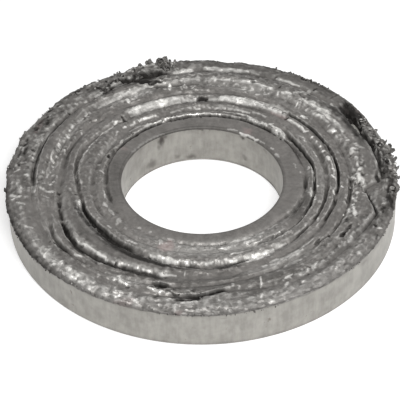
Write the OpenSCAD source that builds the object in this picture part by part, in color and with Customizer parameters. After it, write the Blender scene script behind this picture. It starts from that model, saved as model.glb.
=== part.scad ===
// Sealing ring: a graphite foil strip wound in turns and pressed in a round die.
// The die leaves both walls, the underside and a band round the bore smooth.
// On the top face the ends of the turns stay as crumpled folds with creases between them.
// Angles are counted from +X towards +Y, seen from above.

/* [Ring] */
// Outside diameter of the pressed wall
outer_d = 24; // [20:0.5:60]
// Diameter of the bore
bore_d = 10; // [5:0.5:12]
// Height of the smooth band round the bore
height = 2.7; // [2:0.1:5]

/* [Edges] */
// Radius of the rounded top edge of the bore
bore_edge = 0.15; // [0.05:0.05:0.3]
// Radius of the rounded edges of the underside
foot_edge = 0.12; // [0.04:0.02:0.3]

/* [Crumpled face] */
// Depth of the creases, where 1 is the ring as pressed
crease_scale = 1; // [0.2:0.1:1]
// Unevenness of the folds
wrinkle = 0.05; // [0.01:0.01:0.08]
// Raggedness of the outer rim
ragged = 0.09; // [0.02:0.01:0.12]
// Steps round the ring, with twice as many along the rim
steps = 112; // [60:4:112]

/* [Hidden] */

bore_r = bore_d / 2;
outer_r = outer_d / 2;
face_w = outer_r - bore_r;

// The walls are true cylinders up to here, and the folds stand on this plane
wall_top = 0.8 * height;
seat_z = wall_top - 0.2;
// The folds start inside the smooth band and end just inside the outer wall
band_solid_w = 0.07 * face_w;
band_skin_w = 0.04 * face_w;
skin = 0.02;
rim_inset = 0.02;

// A crease is a ring of places: [angle, place, depth, inner flank, bed, outer flank].
// Place, flanks and bed are in percent of the face width, counted out from the bore.
// Depth is in percent of the height.
band_crease = [
    [0, 20, 5, 2, 1, 2], [10, 20, 2, 2, 1, 2], [32, 21, 4, 1, 1, 2], [39, 18, 11, 1, 1, 1],
    [48, 18, 12, 1, 1, 1], [56, 17, 13, 1, 1, 1], [64, 18, 11, 1, 1, 1], [76, 17, 12, 1, 1, 1],
    [93, 16, 14, 1, 1, 1], [108, 15, 13, 1, 1, 1], [113, 15, 5, 1, 1, 3], [117, 14, 13, 1, 1, 1],
    [145, 14, 12, 1, 1, 1], [151, 15, 6, 1, 1, 2], [165, 15, 5, 1, 1, 2], [178, 13, 5, 1, 1, 2],
    [198, 13, 5, 1, 1, 2], [215, 15, 3, 1, 1, 2], [245, 14, 2, 1, 1, 2], [283, 16, 4, 1, 1, 1],
    [300, 15, 2, 1, 1, 1], [320, 15, 2, 1, 1, 1], [332, 19, 6, 1, 1, 2], [350, 20, 7, 1, 1, 2]];
second_crease = [
    [0, 28, 9, 1, 1, 1], [12, 28, 9, 1, 1, 1], [25, 26, 8, 1, 1, 1], [36, 26, 5, 1, 1, 1],
    [50, 28, 2, 1, 1, 2], [70, 27, 3, 1, 1, 4], [90, 25, 5, 1, 1, 4], [108, 23, 5, 1, 1, 3],
    [125, 25, 5, 1, 1, 3], [140, 22, 3, 1, 1, 2], [158, 23, 3, 1, 1, 1], [180, 25, 3, 1, 1, 1],
    [204, 27, 4, 1, 1, 1], [215, 26, 1, 1, 1, 1], [234, 27, 3, 1, 1, 1], [250, 26, 1, 1, 1, 1],
    [290, 26, 1, 1, 1, 1], [304, 28, 7, 1, 1, 2], [314, 28, 5, 1, 1, 2], [320, 29, 2, 1, 1, 1],
    [332, 29, 5, 1, 1, 1], [345, 29, 8, 1, 1, 1]];
third_crease = [
    [0, 39, 5, 2, 1, 1], [20, 38, 3, 2, 1, 1], [45, 38, 1, 2, 1, 2], [62, 36, 3, 2, 1, 6],
    [86, 36, 4, 1, 1, 6], [90, 37, 13, 1, 1, 3], [94, 36, 4, 1, 1, 6], [127, 36, 4, 1, 1, 6],
    [131, 35, 12, 1, 1, 2], [135, 37, 4, 1, 1, 3], [150, 40, 5, 2, 1, 1], [158, 43, 6, 2, 2, 1],
    [167, 42, 7, 2, 2, 1], [176, 41, 7, 2, 1, 1], [184, 38, 4, 1, 1, 1], [195, 37, 6, 1, 1, 1],
    [201, 39, 16, 1, 2, 1], [210, 39, 19, 1, 5, 1], [221, 40, 20, 2, 6, 1], [229, 41, 18, 3, 5, 2],
    [234, 40, 17, 3, 2, 3], [242, 41, 17, 4, 2, 2], [249, 43, 15, 5, 1, 1], [260, 45, 12, 5, 1, 1],
    [271, 46, 10, 5, 1, 1], [276, 45, 14, 5, 2, 1], [286, 44, 14, 5, 2, 1], [293, 43, 10, 5, 1, 1],
    [300, 42, 8, 5, 1, 2], [309, 42, 6, 4, 1, 1], [318, 41, 6, 1, 1, 1], [345, 40, 8, 1, 1, 1]];
fourth_crease = [
    [0, 49, 16, 1, 1, 1], [13, 49, 15, 1, 1, 1], [15, 49, 6, 2, 1, 1], [17, 49, 15, 1, 1, 1],
    [30, 48, 16, 2, 1, 1], [46, 46, 14, 2, 1, 1], [50, 47, 4, 2, 1, 1], [62, 50, 2, 2, 1, 1],
    [115, 49, 3, 2, 1, 1], [150, 53, 3, 2, 1, 1], [163, 54, 5, 2, 2, 1], [176, 52, 5, 2, 2, 2],
    [187, 55, 3, 2, 1, 2], [194, 58, 4, 2, 1, 2], [205, 63, 8, 2, 1, 1], [212, 67, 12, 2, 1, 1],
    [220, 69, 14, 5, 2, 1], [233, 67, 14, 5, 2, 1], [246, 62, 16, 5, 3, 1], [257, 60, 6, 4, 1, 2],
    [268, 59, 2, 3, 1, 2], [280, 57, 2, 2, 1, 2], [295, 53, 2, 2, 1, 4], [318, 50, 3, 2, 1, 2],
    [335, 49, 6, 1, 1, 1], [345, 49, 7, 1, 1, 1], [349, 48, 3, 1, 1, 1], [353, 49, 11, 1, 1, 1]];
fifth_crease = [
    [0, 59, 5, 1, 1, 1], [15, 58, 3, 1, 1, 1], [30, 57, 1, 1, 1, 2], [60, 61, 2, 1, 1, 5],
    [90, 62, 2, 1, 1, 5], [103, 63, 4, 1, 1, 3], [107, 66, 11, 2, 1, 2], [112, 68, 6, 2, 1, 1],
    [117, 63, 2, 1, 1, 3], [135, 66, 2, 1, 1, 4], [150, 63, 3, 1, 1, 4], [163, 62, 5, 1, 1, 2],
    [180, 63, 2, 1, 1, 1], [200, 71, 1, 1, 1, 1], [211, 78, 7, 2, 1, 1], [216, 79, 9, 2, 1, 1],
    [224, 78, 5, 2, 1, 1], [235, 76, 2, 1, 1, 1], [250, 72, 3, 1, 1, 2], [255, 71, 17, 1, 4, 1],
    [259, 71, 3, 1, 1, 2], [281, 65, 3, 1, 1, 2], [316, 60, 2, 1, 1, 2], [320, 60, 8, 1, 1, 1],
    [326, 62, 4, 1, 1, 1], [350, 60, 5, 1, 1, 1]];
rim_crease = [
    [0, 88, 4, 2, 1, 2], [3, 88, 9, 2, 2, 2], [14, 87, 8, 2, 2, 2], [18, 87, 14, 3, 2, 2],
    [24, 86, 12, 3, 4, 2], [28, 87, 19, 4, 4, 2], [34, 88, 19, 4, 5, 2], [38, 89, 10, 3, 3, 2],
    [41, 84, 5, 1, 1, 1], [60, 82, 5, 1, 1, 3], [90, 80, 5, 1, 1, 3], [99, 79, 5, 1, 1, 3],
    [103, 80, 15, 1, 2, 3], [107, 79, 20, 1, 3, 3], [112, 80, 19, 1, 3, 2], [118, 80, 20, 1, 3, 2],
    [124, 78, 16, 1, 2, 2], [128, 77, 6, 1, 1, 2], [142, 78, 5, 1, 1, 2], [156, 80, 7, 2, 2, 2],
    [170, 79, 7, 2, 2, 1], [182, 78, 6, 2, 1, 1], [188, 80, 1, 1, 1, 1], [215, 85, 1, 1, 1, 1],
    [250, 85, 1, 1, 1, 1], [258, 83, 2, 1, 1, 1], [261, 82, 10, 1, 2, 1], [268, 80, 12, 1, 2, 1],
    [270, 78, 12, 1, 2, 1], [276, 74, 9, 1, 2, 1], [279, 75, 2, 2, 1, 2], [300, 83, 1, 3, 1, 3],
    [306, 83, 3, 2, 1, 2], [330, 84, 1, 3, 1, 3], [342, 88, 4, 1, 1, 1], [345, 84, 9, 1, 1, 1],
    [348, 79, 9, 1, 1, 1], [352, 74, 8, 1, 1, 1], [355, 74, 1, 1, 1, 1], [359, 87, 1, 1, 1, 1]];
creases = [band_crease, second_crease, third_crease, fourth_crease, fifth_crease, rim_crease];

// How far each fold stands above the band: [angle, lift in percent of the height].
// The first is the band itself, and the last is the rim.
lifts = [
    [[0, 1]],
    [[0, 2], [8, 2], [14, -5], [34, -5], [42, 5], [70, 2], [130, 2], [160, -1], [190, 1],
        [230, 0], [310, 0], [330, -4], [344, -4], [349, 1]],
    [[0, 3], [40, 2], [60, 4], [90, 3], [110, 1], [150, 3], [180, 2], [200, 1], [250, 4],
        [270, 3], [290, 4], [310, 2], [330, 3]],
    [[0, 5], [14, 6], [46, 5], [75, 7], [84, 5], [90, 1], [97, 6], [125, 7], [131, 1],
        [150, 4], [180, 2], [225, 4], [245, 4], [270, 2], [300, 3], [320, 2]],
    [[0, 2], [45, 4], [90, 1], [130, 2], [180, 1], [220, 4], [250, 2], [290, 3], [320, 1]],
    [[0, 5], [40, 7], [80, 5], [105, 4], [118, 8], [145, 5], [180, 4], [200, 0], [230, 3],
        [260, 2], [300, 2], [330, 5]],
    [[0, 0], [20, -3], [34, -3], [40, 2], [78, 3], [82, 1], [86, 3], [98, 4], [102, 8],
        [110, 7], [120, 3], [145, 2], [180, 0], [205, -2], [230, 2], [250, 2], [270, -2],
        [300, 0], [330, 0], [350, -3]]];

// How far the rim hangs out over the wall, in percent of the face width: [angle, reach]
rim_reach = [
    [0, 2], [16, 2], [20, -2], [34, -1], [39, 0], [78, 0], [82, -2], [86, 0], [99, 0],
    [102, 2], [107, 1], [116, -1], [124, -1], [130, 0], [155, 1], [159, 4], [163, 1],
    [172, 2], [174, 4], [177, 2], [190, 3], [215, 3], [226, 1], [245, 1], [262, 0],
    [335, 0], [352, 1]];
// Height of the rim's lower edge, in percent of the height: [angle, height]
rim_edge = [
    [0, 87], [40, 91], [100, 88], [174, 87], [184, 79], [206, 79], [222, 82], [240, 86],
    [254, 88], [272, 88], [288, 93], [316, 92], [334, 87], [345, 89]];
// How far the rim's shoulder sags, in percent of the height: [angle, sag]
rim_sag = [
    [0, 3], [40, 1], [100, 2], [172, 3], [184, 8], [222, 7], [240, 4], [256, 2], [330, 1], [350, 3]];
// How frayed the rim is, in percent of ragged: [angle, fray]
rim_fray = [
    [0, 120], [18, 110], [26, 60], [40, 35], [92, 40], [100, 115], [126, 100], [134, 60],
    [160, 80], [178, 95], [214, 95], [244, 70], [262, 35], [325, 35], [345, 80]];

// Curled shreds of foil that stand on the rim's shoulder: [angle, curl radius, width, sweep, yaw],
// with radius and width in percent of the height. The free end of the foil is where the sweep starts.
shreds = [
    [102, 9, 12.5, 230, 70],
    [107, 6.5, 9.5, 215, 20],
    [9, 6.5, 9, 210, 60]];
shred_start = 40;
shred_arc_steps = 10;
// Thickness of the foil in them, and how far the middle of a curl is above the shoulder, in percent of
// the height
shred_t = 2.2;
shred_rise = 1;

body_facets = 180;
arc_steps = 6;
rows_between = 2;

// No bed comes closer than this to the plane that the folds stand on, and no other point than half of it
bed_floor = 0.05;
// Rise of a fold's crown, and sideways shift of its points, as shares of wrinkle
crown_share = 0.12;
shift_share = 0.2;
// Unevenness of a whole fold and of each point, as shares of wrinkle
fold_share = 0.6;
point_share = 0.5;
// The first stations, by the smooth band, are less uneven
calm_stations = 2;
calm_share = 0.2;
// End of the last fold: place in percent of the face width, and fall in percent of the height
last_place = 94;
last_fall = 1;
// Rim's shoulder and brow: distance in from the wall as a share of the face width, and fall in percent
// of the height. The shoulder takes only a share of the rim's sag.
shoulder_in = 0.036;
shoulder_fall = 2;
shoulder_sag = 0.5;
brow_in = 0.01;
brow_fall = 4;
// Least overhang of the rim, and how far its underside slopes down to the wall
overhang = 0.02;
lip_under = 0.04;
// A rim that reaches far out frays more
reach_fray = 8;
// Shares of the fray that the rim's points move sideways and up or down
fray_out = 0.5;
fray_rise = 0.7;
// Stations in a whole fold, from one crease to the next
fold_rows = 6;
// Numbers of the uneven spread
grain_seed = 40;
shift_seed = 90;
rim_seed = 201;
spread_i = 127.1;
spread_j = 311.7;
spread_by = 437.58;

// Value in one column of a table at angle a, running on past 360 degrees
function table_at(table, column, a) = lookup(a, concat(
    [for (entry = table) [entry[0], entry[column]]], [[360, table[0][column]]]));

// An even spread of numbers from -1 to 1 that is the same each time
function uneven(i, j) =
    let (v = sin(i * spread_i + j * spread_j) * spread_by)
    2 * (v - floor(v)) - 1;

function crest_z(fold, a) = height * (1 + table_at(lifts[fold], 1, a) / 100);

// Height of the rim where it falls by this many percent, and by this share of its sag
function rim_z(a, fall, sag_share) =
    crest_z(len(lifts) - 1, a) - (fall + sag_share * table_at(rim_sag, 1, a)) / 100 * height;

// Four stations across a crease, [place, z]: shoulder, two sides of the bed, shoulder
function crease_stations(k, a) =
    let (
        table = creases[k],
        place = table_at(table, 1, a),
        depth = table_at(table, 2, a) / 100 * height * crease_scale,
        half_bed = table_at(table, 4, a) / 2,
        inner_z = crest_z(k, a),
        outer_z = crest_z(k + 1, a),
        bed_z = max(min(inner_z, outer_z) - depth, seat_z + bed_floor))
    [[place - half_bed - table_at(table, 3, a), inner_z],
     [place - half_bed, bed_z],
     [place + half_bed, bed_z],
     [place + half_bed + table_at(table, 5, a), outer_z]];

// Stations evenly between two others, raised to a low crown
function crown_stations(from, to, count) =
    [for (n = [1:count])
        let (t = n / (count + 1))
        [from[0] + (to[0] - from[0]) * t,
         from[1] + (to[1] - from[1]) * t + crown_share * wrinkle * (to[0] - from[0]) * t * (1 - t)]];

// All stations of the folds along one radius, from the first crease to the last shoulder
function fold_stations(a) =
    [for (k = [0:len(creases) - 1])
        let (
            here = crease_stations(k, a),
            next = k < len(creases) - 1
                ? crease_stations(k + 1, a)[0]
                : [last_place, crest_z(k + 1, a) - last_fall / 100 * height],
            between = crown_stations(here[3], next, rows_between))
        each concat(here, between)];

// One radius of the folds as [radius, z], from the band out to the last crown
function inner_points(i, a) =
    let (stations = fold_stations(a))
    concat(
        [[bore_r + band_solid_w, seat_z],
         [bore_r + band_solid_w, height - skin],
         [bore_r + band_solid_w + band_skin_w, height + skin]],
        [for (j = [0:len(stations) - 1])
            let (
                rough = wrinkle * (j < calm_stations ? calm_share : 1),
                flute = fold_share * uneven(i, floor(j / fold_rows)),
                grain = point_share * uneven(i, j + grain_seed))
            [bore_r + face_w * stations[j][0] / 100 + shift_share * wrinkle * uneven(i, j + shift_seed),
             max(stations[j][1] + rough * (flute + grain), seat_z + bed_floor / 2)]]);

// One radius of the rim as [radius, z]: shoulder, brow, ragged edge, and down inside the wall
function rim_points(i, a) =
    let (
        reach = face_w * table_at(rim_reach, 1, a) / 100,
        inward = min(0, reach),
        fray = ragged * table_at(rim_fray, 1, a) / 100 * (1 + reach_fray * max(0, reach) / face_w),
        edge_r = outer_r + overhang + reach + fray_out * fray * (1 + uneven(i, rim_seed)),
        edge_z = height * table_at(rim_edge, 1, a) / 100 + fray_rise * fray * uneven(i, rim_seed + 1))
    [[outer_r - shoulder_in * face_w + inward,
      rim_z(a, shoulder_fall, shoulder_sag) + fray_rise * fray * uneven(i, rim_seed + 2)],
     [outer_r - brow_in * face_w + inward + fray_out * fray * uneven(i, rim_seed + 3),
      rim_z(a, brow_fall, 1) + fray_rise * fray * uneven(i, rim_seed + 4)],
     [edge_r, edge_z],
     [outer_r - rim_inset, edge_z - lip_under],
     [outer_r - rim_inset, seat_z]];

function spun(p, a) = [p[0] * cos(a), p[0] * sin(a), p[1]];

// Two triangles between rows of equal length, with the diagonal turned about
function strip(first_a, first_b, count) =
    [for (i = [0:count - 1])
        let (
            a0 = first_a + i,
            a1 = first_a + (i + 1) % count,
            b0 = first_b + i,
            b1 = first_b + (i + 1) % count)
        each (i + floor(first_a / count)) % 2 == 0
            ? [[a0, b1, b0], [a0, a1, b1]]
            : [[a0, a1, b0], [a1, b1, b0]]];

// Three triangles for each step between a row and one with twice as many points
function doubling_strip(first_a, first_b, count) =
    [for (i = [0:count - 1])
        let (
            a0 = first_a + i,
            a1 = first_a + (i + 1) % count,
            b0 = first_b + 2 * i,
            b1 = b0 + 1,
            b2 = first_b + (2 * i + 2) % (2 * count))
        each [[a0, b1, b0], [a0, a1, b1], [a1, b2, b1]]];

function turned_over(faces) = [for (f = faces) [f[2], f[1], f[0]]];

// Half profile of everything the die presses smooth: bore, band, wall and underside
module pressed_body() {
    foot = [for (n = [0:arc_steps])
        let (a = 90 * n / arc_steps)
        [bore_r + foot_edge * (1 - sin(a)), foot_edge * (1 - cos(a))]];
    heel = [for (n = [0:arc_steps])
        let (a = 90 * n / arc_steps)
        [outer_r - foot_edge * (1 - sin(a)), foot_edge * (1 - cos(a))]];
    lip = [for (n = [0:arc_steps])
        let (a = 90 * n / arc_steps)
        [bore_r + bore_edge * (1 - sin(a)), height - bore_edge * (1 - cos(a))]];
    band_end = bore_r + band_solid_w + band_skin_w;
    rotate_extrude($fn = body_facets)
        polygon(concat(
            heel,
            [[outer_r, wall_top], [band_end, wall_top], [band_end, height]],
            lip,
            [for (n = [arc_steps:-1:0]) foot[n]]));
}

// The crumpled ends of the turns, one closed skin that stands in the pressed body
module folds() {
    columns = [for (i = [0:steps - 1]) inner_points(i, 360 * i / steps)];
    rims = [for (i = [0:2 * steps - 1]) rim_points(i, 180 * i / steps)];
    inner_rows = len(columns[0]);
    rim_rows = len(rims[0]);
    first_rim = inner_rows * steps;
    points = concat(
        [for (j = [0:inner_rows - 1]) for (i = [0:steps - 1]) spun(columns[i][j], 360 * i / steps)],
        [for (j = [0:rim_rows - 1]) for (i = [0:2 * steps - 1]) spun(rims[i][j], 180 * i / steps)]);
    faces = concat(
        [for (j = [0:inner_rows - 2]) each strip(j * steps, (j + 1) * steps, steps)],
        doubling_strip((inner_rows - 1) * steps, first_rim, steps),
        [for (j = [0:rim_rows - 2])
            each strip(first_rim + 2 * j * steps, first_rim + 2 * (j + 1) * steps, 2 * steps)],
        turned_over(doubling_strip(0, first_rim + 2 * (rim_rows - 1) * steps, steps)));
    polyhedron(points, faces);
}

// A torn strip of foil rolled into an open curl, in percent of the height
module shred(curl_r, width, sweep) {
    outer = [for (n = [0:shred_arc_steps])
        let (a = shred_start + sweep * n / shred_arc_steps)
        curl_r * [cos(a), sin(a)]];
    inner = [for (n = [shred_arc_steps:-1:0])
        let (a = shred_start + sweep * n / shred_arc_steps)
        (curl_r - shred_t) * [cos(a), sin(a)]];
    rotate([90, 0, 0])
        scale(height / 100)
            linear_extrude(height = width, center = true)
                polygon(concat(outer, inner));
}

module sealing_ring() {
    color([0.5, 0.49, 0.47])
        union() {
            pressed_body();
            folds();
            for (s = shreds)
                rotate(s[0])
                    translate([
                        outer_r - shoulder_in * face_w,
                        0,
                        rim_z(s[0], shoulder_fall - shred_rise, shoulder_sag)])
                        rotate(s[4])
                            shred(s[1], s[2], s[3]);
        }
}

sealing_ring();
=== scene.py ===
"""Sealing ring of wound graphite foil: die pressed walls under a crumpled upper face."""

import logging
import math
from dataclasses import dataclass, field
from enum import Enum, IntEnum
from typing import Iterator

import bmesh
import bpy
import numpy as np
from mathutils import Matrix, Vector


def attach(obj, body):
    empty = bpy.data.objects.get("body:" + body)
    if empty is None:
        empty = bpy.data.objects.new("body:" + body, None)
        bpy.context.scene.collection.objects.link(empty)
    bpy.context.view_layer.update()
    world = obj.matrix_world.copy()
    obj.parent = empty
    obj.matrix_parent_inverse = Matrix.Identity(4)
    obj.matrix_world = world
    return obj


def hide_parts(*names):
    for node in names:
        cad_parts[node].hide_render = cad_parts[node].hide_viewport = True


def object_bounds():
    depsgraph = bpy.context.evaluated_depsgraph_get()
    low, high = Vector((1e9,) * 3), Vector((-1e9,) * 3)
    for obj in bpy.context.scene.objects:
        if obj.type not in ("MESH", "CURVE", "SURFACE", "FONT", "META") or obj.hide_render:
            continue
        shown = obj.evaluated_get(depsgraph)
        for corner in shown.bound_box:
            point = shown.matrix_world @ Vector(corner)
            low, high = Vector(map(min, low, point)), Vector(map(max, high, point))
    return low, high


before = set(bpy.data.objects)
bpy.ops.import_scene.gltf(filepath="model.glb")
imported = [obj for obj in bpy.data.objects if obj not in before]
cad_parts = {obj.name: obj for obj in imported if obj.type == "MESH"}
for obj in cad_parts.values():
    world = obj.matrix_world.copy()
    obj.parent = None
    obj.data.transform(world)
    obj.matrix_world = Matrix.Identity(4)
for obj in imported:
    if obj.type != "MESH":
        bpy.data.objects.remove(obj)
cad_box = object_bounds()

log = logging.getLogger("sealing_ring")

MM = 0.001  # in metres
WELD_M = 2e-8  # points closer than this are joined
PATTERN_R = 9  # radius in millimetres at which patterns along the turns keep their length
RIM_HANG = 0.7  # share of the source's overhang that the rim takes here
BODY = "root"
NODE = "sealing_ring"
Array = np.ndarray
Level = Array | float
Colour = tuple[float, float, float, float]
Place = tuple[float, float, float]
Inputs = dict[str | int, object]
Socket = bpy.types.NodeSocket
Table = tuple[tuple[float, ...], ...]
Touches = Iterator[tuple[Array, Array]]


class Slot(Enum):
    """Material slots of the record."""

    FOIL = "graphite_foil"


class Seed(Enum):
    """Seeds of all that is left to chance."""

    FACE = 7
    WALL = 11
    HAIRLINES = 23
    FLAKE_PLACES = 31
    FLAKE_SIZES = 37
    BEADS = 41


class Layer(IntEnum):
    """Layers of noise, which keep patterns apart. To those of a crease the crease adds its number."""

    PLACE = 0
    PLACE_FINE = 7
    DEPTH = 14
    BED = 21
    INNER_FLANK = 28
    OUTER_FLANK = 35
    INNER_LIP = 42
    OUTER_LIP = 49
    TEAR = 60
    TEAR_FINE = 61
    SAG = 62
    SAG_FINE = 63
    WARP = 69
    WAVES = 70
    DENTS = 71
    FLAKES = 72
    FINE = 73
    WRINKLES = 74
    DEPTH_FINE = 77
    SIDEWAYS = 80
    OUTWARD = 81
    SIDEWAYS_FINE = 82
    OUTWARD_FINE = 83
    CLOUD = 84
    CREASE_SHADE_PATCHES = 85
    CLOUD_BROAD = 86
    TORN = 90
    WALL_WARP = 3
    WALL_RAGGED = 5


class CreaseColumn(IntEnum):
    """What a crease row holds after its angle."""

    PLACE = 1
    DEPTH = 2
    INNER_FLANK = 3
    BED = 4
    OUTER_FLANK = 5


@dataclass(frozen=True)
class Relief:
    """One size of unevenness: its layer, waves round the ring, strength, and width in millimetres."""

    layer: Layer
    waves: float
    strength: float
    width: float = 1.0

    def points(self, degrees: Array, radius: Array, warp: Level = 0.0) -> Array:
        """Places in noise space for points of the face."""
        return ring_points(degrees, self.waves, self.layer, radius / self.width + warp)


@dataclass(frozen=True)
class RingSizes:
    """Pressed sizes of the ring in millimetres, as in the part's source."""

    bore_r: float = 5.0
    outer_r: float = 12.0
    height: float = 2.7
    bore_edge: float = 0.15
    foot_edge: float = 0.12
    joint: float = 0.012
    ledge: float = 0.25

    @property
    def face_w(self) -> float:
        """Width of the upper face."""
        return self.outer_r - self.bore_r

    @property
    def wall_top(self) -> float:
        """Height up to which the outer wall is a true cylinder."""
        return 0.8 * self.height

    @property
    def seat_z(self) -> float:
        """Height of the plane that the turns stand on."""
        return self.wall_top - 0.2


class FoilNoise:
    """Seeded gradient noise, the same on each run."""

    def __init__(self, seed: Seed) -> None:
        """Draws the lattice.

        Args:
            seed: Fixes the pattern.
        """
        maker = np.random.default_rng(seed.value)
        order = maker.permutation(256)
        self._order = np.concatenate([order, order, order])
        slopes = maker.normal(size=(256, 3))
        self._slopes = slopes / np.linalg.norm(slopes, axis=1, keepdims=True)
        self._levels = maker.uniform(-1, 1, 256)

    def _pick(self, cell: Array) -> Array:
        """Index from 0 to 255 for each lattice cell."""
        order = self._order
        return order[order[order[cell[..., 0] & 255] + (cell[..., 1] & 255)] + (cell[..., 2] & 255)]

    def smooth(self, points: Array) -> Array:
        """Soft hills and hollows.

        Args:
            points: Places, with three coordinates each.

        Returns:
            Values from about -1 to 1.
        """
        cell = np.floor(points).astype(np.int64)
        part = points - cell
        fade = part**3 * (part * (part * 6 - 15) + 10)
        total = np.zeros(points.shape[:-1])
        for corner in np.ndindex(2, 2, 2):
            at = np.array(corner)
            weight = np.prod(np.where(at == 1, fade, 1 - fade), axis=-1)
            total += weight * ((part - at) * self._slopes[self._pick(cell + at)]).sum(-1)
        return 1.6 * total

    def creased(self, points: Array, octaves: int = 2) -> Array:
        """Sharp ridges between round hollows.

        Args:
            points: Places, with three coordinates each.
            octaves: How many finer layers are added.

        Returns:
            Values from about -1 to 1.
        """
        total = np.zeros(points.shape[:-1])
        size = 1.0
        for layer in range(octaves):
            total += size * (1 - 2.6 * np.abs(self.smooth(points * 2.1**layer + 17.3 * layer)))
            size *= 0.5
        return total / (2 - 2 * size)

    def flaked(self, points: Array) -> Array:
        """Tilted flakes with a small step at each edge.

        Args:
            points: Places, with three coordinates each.

        Returns:
            Values from about -1 to 1.
        """
        cell = np.floor(points).astype(np.int64)
        nearest = np.full(points.shape[:-1], 1e9)
        level = np.zeros(points.shape[:-1])
        for shift in np.ndindex(3, 3, 3):
            here = cell + np.array(shift) - 1
            index = self._pick(here)
            away = points - (here + 0.5 + 0.4 * self._slopes[index])
            gap = (away**2).sum(-1)
            plane = 0.5 * self._levels[index] + (away * self._slopes[(index + 7) & 255]).sum(-1)
            closer = gap < nearest
            nearest = np.where(closer, gap, nearest)
            level = np.where(closer, plane, level)
        return level

    def uneven(self, level: Level, degrees: Array, *reliefs: Relief, crease: int = 0,
               across: Level = 0.0) -> Array:
        """Adds unevenness to a level.

        Args:
            level: What is made uneven.
            degrees: Angles round the ring.
            *reliefs: Sizes of unevenness, added in turn.
            crease: Gives each crease a pattern of its own.
            across: Places across the pattern in millimetres.

        Returns:
            The uneven values.
        """
        for relief in reliefs:
            points = ring_points(degrees, relief.waves, relief.layer + crease, across / relief.width)
            level = level + relief.strength * self.smooth(points)
        return level


def round_value(table: Table, column: int, degrees: Array) -> Array:
    """Value of one column of a table at each angle round the ring.

    Args:
        table: Rows that start with an angle in degrees.
        column: Which value is read.
        degrees: Angles.

    Returns:
        One value for each angle.
    """
    return np.interp(degrees, [row[0] for row in table], [row[column] for row in table], period=360.0)


def hundredths(table: Table, degrees: Array) -> Array:
    """Values at each angle of a table that is given in hundredths."""
    return round_value(table, 1, degrees) / 100


def from_angle(degrees: Array, middle: float) -> Array:
    """Angles counted from a middle one, from -180 to 180 degrees."""
    return (degrees - middle + 180) % 360 - 180


def ring_points(degrees: Array, waves: float, layer: int, across: Level = 0.0) -> Array:
    """Places on a circle in noise space, so that a pattern closes round the ring.

    Args:
        degrees: Angles.
        waves: Number of noise cells round the ring.
        layer: Keeps one pattern apart from another.
        across: Third coordinate, for a pattern that also changes across the face.

    Returns:
        Places with three coordinates each.
    """
    turn = np.radians(degrees)
    reach = waves / (2 * math.pi)
    flat = np.broadcast_arrays(reach * np.cos(turn) + 3.7 * layer, reach * np.sin(turn), across + 5.1 * layer)
    return np.stack(flat, -1)


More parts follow.
